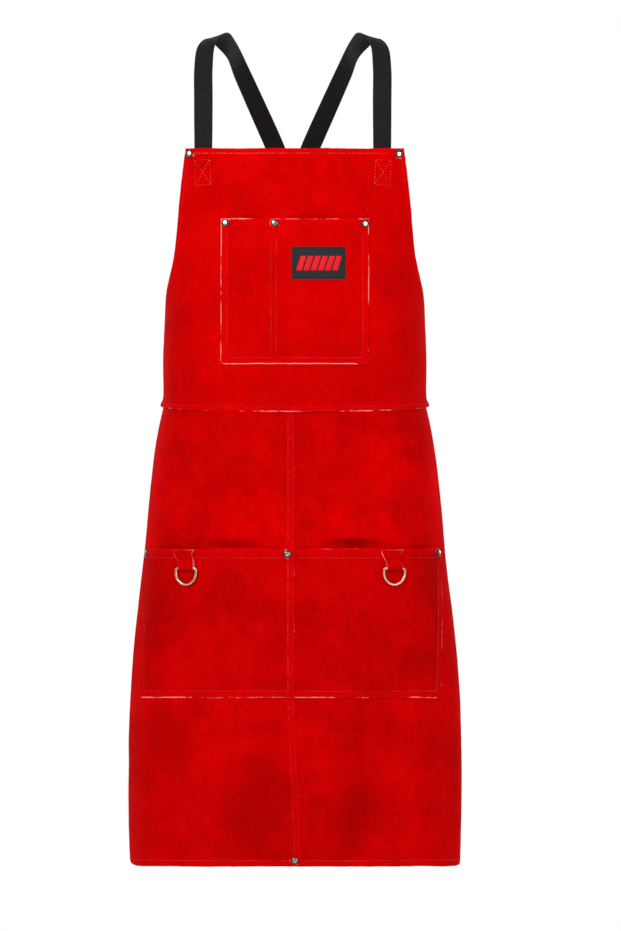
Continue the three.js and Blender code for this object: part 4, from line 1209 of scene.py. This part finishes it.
def post_rows(length):
    """Half section of a rivet's post: a flat back with a rounded rim, and its shank."""
    rim = [(BACK_RADIUS - 0.35 + 0.35 * math.cos(a), -BACK_HEIGHT / 2 + BACK_HEIGHT / 2 * math.sin(a))
           for a in np.radians(np.linspace(-90, 90, 8))]
    return [(0, -BACK_HEIGHT), (1.2, -BACK_HEIGHT), (1.5, -BACK_HEIGHT + 0.15), (2.1, -BACK_HEIGHT), *rim,
            (SHANK, 0), (SHANK, length), (0, length)]


def make_rivets(material):
    for name, (u, z, inner_panel, outer_panel) in RIVETS.items():
        u, z = float(u), float(z)
        at_cap = seat(lambda a, b: face_point(outer_panel, a, b, 0.15), u, z)
        at_post = seat(lambda a, b: form_point(a, b, LIFTS[inner_panel](a, b) + drape(a, b) - 0.1), u, z)
        stack = float(LIFTS[outer_panel](u, z) - LIFTS[inner_panel](u, z) + LEATHER)
        for kind, rows, at in (("cap", cap_rows(), at_cap), ("post", post_rows(stack), at_post)):
            points, faces = lathe(rows)
            rim = smooth((np.hypot(points[:, 0], points[:, 2]) - 1.8) / 2.4)
            piece = make_piece(f"rivet_{kind}_{name}_metal", placed(at, points), faces, material,
                               [("rim", rim)])
            stand_in(piece, f"rivet_{kind}_{name}")


def soften_cad(name, material, width=0.6):
    """A CAD node whose shape is right: rounded edges and its own material."""
    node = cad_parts[name]
    node.data.materials.clear()
    node.data.materials.append(material)
    weld = node.modifiers.new("weld", "WELD")
    weld.merge_threshold = 0.01 * MM
    bevel = node.modifiers.new("round_edges", "BEVEL")
    bevel.width, bevel.segments = width * MM, 3
    bevel.limit_method, bevel.angle_limit = "ANGLE", math.radians(40)
    node.modifiers.new("even_shading", "WEIGHTED_NORMAL")
    node.data.polygons.foreach_set("use_smooth", np.ones(len(node.data.polygons), bool))


# ---------- label ----------
def label_point(u, z, out):
    return form_point(u, z, chest_lift(u, z) + drape(u, z) + LEATHER + out)


def make_label(patch_material, bar_material, thread):
    u0 = grid_lines(LABEL["left"], LABEL["right"], (), 2)
    z0 = grid_lines(LABEL["bottom"], LABEL["top"], (), 2)[::-1]
    u, z = np.meshgrid(u0, z0)
    inset = np.min([u - LABEL["left"], LABEL["right"] - u, LABEL["top"] - z, z - LABEL["bottom"]], axis=0)
    thick = LABEL["thick"] * np.clip(inset / 0.6, 0.15, 1) ** 0.5 - 0.12 * bell(inset - 2.2, 0.7)
    outer, inner = label_point(u, z, 0.15 + thick), label_point(u, z, 0.15 + 0 * u)
    points, faces = closed_sheet(outer, inner)
    weave = np.stack([u, z, 1 + 0 * u], -1).reshape(-1, 3)
    patch = make_piece("label_patch_cloth", points, faces, patch_material,
                       [("weave", np.tile(weave, (2, 1)))])
    stand_in(patch, "label_patch")
    make_label_bars(bar_material)
    rim = 2.2
    low, high = LABEL["left"] + rim, LABEL["right"] - rim
    head, foot = LABEL["top"] - rim, LABEL["bottom"] + rim
    lines = joined_corners([(low, head), (high, head), (high, foot), (low, foot), (low, head)])
    make_stitches("label_stitches", lines, lambda a, b: label_point(a, b, LABEL["thick"] + 0.2),
                  thread)
    return patch


def make_label_bars(material):
    """A band of equal slanted bars, raised like satin stitch."""
    head, foot, slant, count, share = -329, -351, 7.0, 6, 0.8
    low, high = LABEL["left"] + 4.5, LABEL["right"] - 4.5 - slant
    pitch = (high - low) / count
    points, faces = [], []
    for k in range(count):
        rows = np.linspace(foot, head, 8)[:, None]
        cols = np.linspace(0, share * pitch, 7)[None]
        u = low + (k + (1 - share) / 2) * pitch + cols + slant * (rows - foot) / (head - foot)
        z = rows + 0 * cols
        inset = np.minimum(np.minimum(cols, share * pitch - cols), np.minimum(rows - foot, head - rows))
        rise = 0.05 + 0.4 * np.sqrt(np.clip(inset / 1.2, 0, 1))
        outer = label_point(u, z, LABEL["thick"] + 0.1 + rise)[::-1]
        inner = label_point(u, z, LABEL["thick"] + 0.05 + 0 * rise)[::-1]
        solid, solid_faces = closed_sheet(outer, inner)
        faces += [[i + len(points) for i in face] for face in solid_faces]
        points += solid.tolist()
    bars = make_piece("label_bars", points, faces, material)
    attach(bars, "root")


# ---------- materials ----------
def linear(red, green, blue):
    """Colour written as 0 to 255 sRGB numbers, for a shader."""
    shares = (red / 255, green / 255, blue / 255)
    return (*[c / 12.92 if c <= 0.04 else ((c + 0.055) / 1.055) ** 2.4 for c in shares], 1)


class Shader:
    """A node material, with short calls for the nodes that it needs."""

    def __init__(self, name, **settings):
        self.material = bpy.data.materials.new(name)
        self.material.use_nodes = True
        self.tree = self.material.node_tree
        self.base = self.tree.nodes["Principled BSDF"]
        self.set(**settings)

    def set(self, **inputs):
        for key, value in inputs.items():
            self.plug(self.base.inputs[key.replace("_", " ")], value)

    def plug(self, socket, value):
        if isinstance(value, bpy.types.NodeSocket):
            self.tree.links.new(value, socket)
        else:
            socket.default_value = value

    def node(self, kind, inputs=(), **settings):
        node = self.tree.nodes.new(kind)
        for key, value in settings.items():
            setattr(node, key, value)
        for key, value in dict(inputs).items():
            self.plug(node.inputs[key], value)
        return node

    def place(self, stretch=(1, 1, 1)):
        coordinates = self.node("ShaderNodeTexCoord").outputs["Object"]
        return self.node("ShaderNodeMapping", {"Vector": coordinates, "Scale": stretch}).outputs[0]

    def noise(self, vector, scale, detail=3, roughness=0.55):
        inputs = {"Vector": vector, "Scale": scale, "Detail": detail, "Roughness": roughness}
        return self.node("ShaderNodeTexNoise", inputs).outputs["Fac"]

    def fit(self, value, low, high, to_low=0.0, to_high=1.0):
        inputs = {0: value, 1: low, 2: high, 3: to_low, 4: to_high}
        return self.node("ShaderNodeMapRange", inputs, interpolation_type="SMOOTHSTEP").outputs[0]

    def math(self, operation, *values):
        return self.node("ShaderNodeMath", enumerate(values), operation=operation).outputs[0]

    def total(self, *parts):
        """Sum of two (value, weight) pairs."""
        return self.math("ADD", *[self.math("MULTIPLY", value, weight) for value, weight in parts])

    def mix(self, share, low, high, blend="MIX"):
        node = self.node("ShaderNodeMix", {0: share, 6: low, 7: high}, data_type="RGBA", blend_type=blend)
        return node.outputs[2]

    def attribute(self, name, output="Fac"):
        return self.node("ShaderNodeAttribute", attribute_name=name).outputs[output]

    def bump(self, height, strength, distance, under=None):
        inputs = {"Height": height, "Strength": strength, "Distance": distance * MM}
        if under is not None:
            inputs["Normal"] = under
        return self.node("ShaderNodeBump", inputs).outputs[0]


def suede(name, light, dark, streak, darkened=linear(158, 0, 0)):
    """Split leather with a short nap: blotches, brush marks, lighter rubbed edges and pale cut ones. On the
    skirt also darker patches, painted shade towards its foot, painted shadow at the lap pockets' mouths and
    painted light down its sides.
    """
    s = Shader(name, Roughness=0.9, Specular_IOR_Level=0.015)
    even, tall = s.place(), s.place((1, 1, 0.22))
    blotch = s.fit(s.noise(even, 11, 5, 0.6), 0.36, 0.64)
    cloud = s.fit(s.noise(even, 47, 4, 0.6), 0.3, 0.7)
    brushed = s.fit(s.noise(tall, 60, 4, 0.6), 0.55, 0.8)
    nap = s.noise(even, 1500, 3, 0.7)
    colour = s.mix(s.total((blotch, 0.62), (cloud, 0.38)), dark, light)
    # darker patches, painted shade and painted shadow on the skirt
    colour = s.mix(s.math("MULTIPLY", s.attribute("darkening"), 0.8), colour, darkened)
    brushed = s.math("MULTIPLY", brushed, 0.4)
    # rubbed edges, and painted light down the skirt's sides
    rubbed_and_lit = s.math("MULTIPLY", s.attribute("rubbed_and_lit"), 0.35)
    colour = s.mix(s.math("MAXIMUM", brushed, rubbed_and_lit), colour, streak)
    grain = s.fit(s.noise(even, 330, 3, 0.6), 0.3, 0.7, 0.9, 1.1)
    flecks = s.math("MULTIPLY", s.fit(nap, 0.3, 0.7, 0.8, 1.15), grain)
    grey = s.node("ShaderNodeCombineColor", {0: flecks, 1: flecks, 2: flecks}).outputs[0]
    colour = s.mix(1.0, colour, grey, "MULTIPLY")
    fray = s.math("MULTIPLY", s.math("SUBTRACT", s.noise(even, 420, 3, 0.7), 0.5), 1.1)
    raw = s.fit(s.math("ADD", s.attribute("raw"), fray), 0.3, 0.85)
    colour = s.mix(raw, colour, linear(255, 140, 134))
    s.set(Base_Color=colour, Sheen_Weight=0.06, Sheen_Roughness=0.45, Sheen_Tint=(1, 0, 0, 1))
    coarse = s.bump(s.noise(even, 160, 4, 0.6), 0.35, 0.7)
    s.set(Normal=s.bump(nap, 0.55, 0.35, coarse))
    return s.material


def webbing_material():
    """Black woven webbing: a fine plain weave from the strip's own length and width."""
    s = Shader("webbing", Roughness=0.5, Specular_IOR_Level=0.18)
    split = s.node("ShaderNodeSeparateXYZ", {0: s.attribute("weave", "Vector")})
    along, across = split.outputs[0], split.outputs[1]
    column = s.math("FLOOR", s.math("DIVIDE", across, 1.3))
    offset = s.math("MULTIPLY", s.math("MODULO", s.math("ABSOLUTE", column), 2.0), 0.5)
    turn = s.math("ADD", s.math("DIVIDE", along, 1.9), offset)
    pick = s.math("SINE", s.math("MULTIPLY", turn, 2 * math.pi))
    thread = s.math("ABSOLUTE", s.math("SINE", s.math("MULTIPLY", across, math.pi / 1.3)))
    weave = s.math("MULTIPLY", s.fit(pick, -1, 1), thread)
    fuzz = s.noise(s.place(), 900, 3, 0.7)
    tone = s.total((weave, 0.75), (fuzz, 0.35))
    slub = s.fit(s.noise(s.place((1, 1, 1.6)), 340, 3, 0.6), 0.35, 0.7, 0.35, 1.5)
    tone = s.math("MULTIPLY", tone, slub)
    s.set(Base_Color=s.mix(s.fit(tone, 0.1, 0.9), linear(3, 3, 3), linear(19, 19, 20)))
    s.set(Roughness=s.fit(weave, 0, 1, 0.62, 0.42), Sheen_Weight=0.03, Sheen_Roughness=0.4)
    s.set(Normal=s.bump(fuzz, 0.2, 0.2, s.bump(weave, 0.8, 0.35)))
    return s.material


def metal(name, colour, roughness, tarnish):
    """Polished plated metal with fine scratches, and tarnish that gathers round a rivet's rim."""
    s = Shader(name, Metallic=1.0)
    darkening = s.fit(s.noise(s.place(), 260, 4, 0.6), 0.45, 0.75)
    darkening = s.math("MAXIMUM", darkening, s.attribute("rim"))
    s.set(Base_Color=s.mix(darkening, colour, tarnish))
    scratches = s.noise(s.place((1, 1, 9)), 900, 2, 0.5)
    s.set(Roughness=s.fit(scratches, 0.2, 0.8, roughness, roughness + 0.14))
    s.set(Normal=s.bump(scratches, 0.06, 0.1))
    return s.material


def plastic():
    """Moulded black acetal with a fine spark-eroded texture."""
    s = Shader("black_plastic", Specular_IOR_Level=0.5)
    grain = s.noise(s.place(), 1400, 2, 0.6)
    s.set(Base_Color=s.mix(grain, linear(14, 14, 15), linear(30, 30, 32)))
    s.set(Roughness=s.fit(grain, 0.3, 0.7, 0.36, 0.5), Normal=s.bump(grain, 0.3, 0.12))
    return s.material


def thread_material(name, light, dark):
    """Twisted sewing thread."""
    s = Shader(name, Roughness=0.65, Specular_IOR_Level=0.2)
    twist = s.noise(s.place(), 2400, 2, 0.5)
    worn = s.mix(s.attribute("raw"), dark, light)
    s.set(Base_Color=s.mix(s.fit(twist, 0.35, 0.65, 0, 0.25), worn, dark))
    s.set(Normal=s.bump(twist, 0.4, 0.15))
    return s.material


def label_material():
    """Dark woven label with a fine diagonal twill."""
    s = Shader("label_cloth", Roughness=0.75, Specular_IOR_Level=0.2)
    split = s.node("ShaderNodeSeparateXYZ", {0: s.attribute("weave", "Vector")})
    slant = s.total((split.outputs[0], 7.0), (split.outputs[1], 7.0))
    twill = s.fit(s.math("SINE", slant), -1, 1)
    speckle = s.noise(s.place(), 700, 3, 0.6)
    tone = s.total((twill, 0.5), (speckle, 0.6))
    s.set(Base_Color=s.mix(s.fit(tone, 0.1, 0.95), linear(20, 22, 23), linear(37, 40, 42)))
    s.set(Normal=s.bump(twill, 0.5, 0.15), Sheen_Weight=0.1)
    return s.material


def make_finishes():
    return {
        "bib": suede("bib_suede", linear(207, 0, 1), linear(184, 0, 0), linear(224, 0, 6)),
        "skirt": suede("skirt_suede", linear(212, 0, 1), linear(176, 0, 0), linear(230, 0, 8)),
        "pocket": suede("pocket_suede", linear(198, 0, 1), linear(166, 0, 0), linear(222, 0, 8)),
        "webbing": webbing_material(),
        "nickel": metal("polished_nickel", (0.74, 0.72, 0.69, 1), 0.10, (0.10, 0.06, 0.045, 1)),
        "brass": metal("pale_brass", (0.72, 0.47, 0.35, 1), 0.2, (0.42, 0.22, 0.14, 1)),
        "plastic": plastic(),
        "thread": thread_material("pale_thread", linear(250, 128, 120), linear(196, 4, 8)),
        "black_thread": thread_material("black_thread", linear(44, 44, 46), linear(24, 24, 26)),
        "satin": thread_material("red_satin", linear(236, 22, 34), linear(222, 10, 26)),
        "label": label_material(),
    }


# ---------- stage ----------
VIEW_X = 23.4 * MM
VIEW_Z = -640.5 * MM
VIEW_HEIGHT = 1.3835      # height that the picture covers at the apron's front
VIEW_DISTANCE = 40.0
VIEW_CLIP = (0.1, 60)
APRON_FRONT = -0.13
SENSOR = 36
FLOOR_RADIUS = 9.0
FLOOR_LEVEL = -1.5
FLOOR_FADE = (0.6, 2.2)   # distances from its middle between which it turns white
MIDDLE = (0, 0, -0.62)
# Area lights: name, place, target, size, watts
LIGHTS = [
    ("key", (-1.9, -3.1, 1.3), MIDDLE, 1.9, 80), ("fill", (2.3, -3.4, 0.3), MIDDLE, 2.2, 52),
    ("top", (0.1, -0.6, 1.9), (0, 0, -0.3), 1.3, 18), ("back_left", (-2.2, 2.8, 0.9), MIDDLE, 1.8, 60),
    ("back_right", (2.4, 2.6, 0.5), MIDDLE, 1.8, 40),
]


def make_camera():
    data = bpy.data.cameras.new("camera")
    data.sensor_width = SENSOR
    data.lens = SENSOR * VIEW_DISTANCE / VIEW_HEIGHT
    data.clip_start, data.clip_end = VIEW_CLIP
    camera = in_scene("camera", data)
    camera.location = (VIEW_X, APRON_FRONT - VIEW_DISTANCE, VIEW_Z)
    camera.rotation_euler = (math.pi / 2, 0, 0)
    bpy.context.scene.camera = camera


def area_light(name, place, target, size, watts):
    data = bpy.data.lights.new(name, "AREA")
    data.size, data.energy = size, watts
    light = in_scene(name, data)
    light.location = place
    light.rotation_euler = (Vector(target) - Vector(place)).to_track_quat("-Z", "Y").to_euler()


def make_floor():
    """A pale floor that turns to plain white away from the object."""
    steps = 96
    angles = 2 * math.pi * np.arange(steps) / steps
    mesh = bpy.data.meshes.new("floor")
    mesh.from_pydata([(FLOOR_RADIUS * math.cos(a), FLOOR_RADIUS * math.sin(a), 0) for a in angles], [],
                     [list(range(steps))])
    floor = in_scene("floor", mesh)
    floor.location = (0, 0, FLOOR_LEVEL)
    s = Shader("pale_floor", Base_Color=(0.86, 0.86, 0.86, 1), Roughness=0.8, Specular_IOR_Level=0.1)
    reach = s.node("ShaderNodeVectorMath", {0: s.place()}, operation="LENGTH").outputs["Value"]
    white = s.node("ShaderNodeEmission", {"Color": (1, 1, 1, 1), "Strength": 1.0}).outputs[0]
    blend = s.node("ShaderNodeMixShader", {0: s.fit(reach, *FLOOR_FADE), 1: s.base.outputs[0], 2: white})
    s.tree.links.new(blend.outputs[0], s.tree.nodes["Material Output"].inputs["Surface"])
    mesh.materials.append(s.material)


def make_world():
    """White behind the object, and a softer grey as its surroundings."""
    world = bpy.data.worlds.new("studio")
    bpy.context.scene.world = world
    world.use_nodes = True
    tree = world.node_tree
    background = tree.nodes["Background"]
    seen = tree.nodes.new("ShaderNodeLightPath").outputs["Is Camera Ray"]
    strength = tree.nodes.new("ShaderNodeMix")
    strength.inputs[2].default_value, strength.inputs[3].default_value = 0.3, 1.0
    tree.links.new(seen, strength.inputs[0])
    tree.links.new(strength.outputs[0], background.inputs["Strength"])
    background.inputs["Color"].default_value = (1, 1, 1, 1)


def make_stage():
    make_floor()
    make_world()
    for light in LIGHTS:
        area_light(*light)
    settings = bpy.context.scene.view_settings
    settings.view_transform, settings.look = "Standard", "None"


def declare_leather():
    """Works out mean flat widths of the leather as it was cut, and keeps none of them."""
    mean = 2 * float(profile(BIB_EDGE, np.linspace(BIB_TOP, BIB_WAIST, 200), 1).mean())
    for side, drift, extra in (("left", LAP_DRIFT, 0), ("right", 0, UNDERLAP)):
        mean = (WAIST_HALF + HEM_HALF) / 2 + extra


def main():
    make_camera()
    make_stage()
    finish = make_finishes()
    panels = make_panels(finish)
    declare_leather()
    make_all_stitches(finish["thread"])
    label = make_label(finish["label"], finish["satin"], finish["black_thread"])
    make_rivets(finish["nickel"])
    for side, sign in (("left", -1), ("right", 1)):
        tab, length = make_ring_tab(side, finish["pocket"])
        ring_at = tab_seat(side)
        ring_at[:3, 3] = placed(ring_at, (TABS[side]["shift"], -TAB_BAR_OUT, 0))
        make_ring(f"tool_ring_{side}", tool_ring_loop(), RING_WIRE, ring_at, f"tool_ring_{side}",
                  finish["brass"])
        tab, length = make_waist_tab(side, sign, finish["bib"])
        make_ring(f"waist_ring_{side}", waist_ring_loop(), WAIST_RING["wire"], waist_ring_seat(sign), "root",
                  finish["nickel"])
        strap, length = make_shoulder_strap(f"shoulder_strap_{side}", sign, finish["webbing"])
        adjuster = f"strap_adjuster_{side}"
        back, length = make_strap_return(f"strap_return_{side}", sign, finish["webbing"])
        soften_cad(adjuster, finish["plastic"], 0.3)
        belt, length = make_waist_belt(f"waist_belt_{side}", sign, finish["webbing"])
    for node in ("buckle_socket", "buckle_plug"):
        soften_cad(node, finish["plastic"])


main()
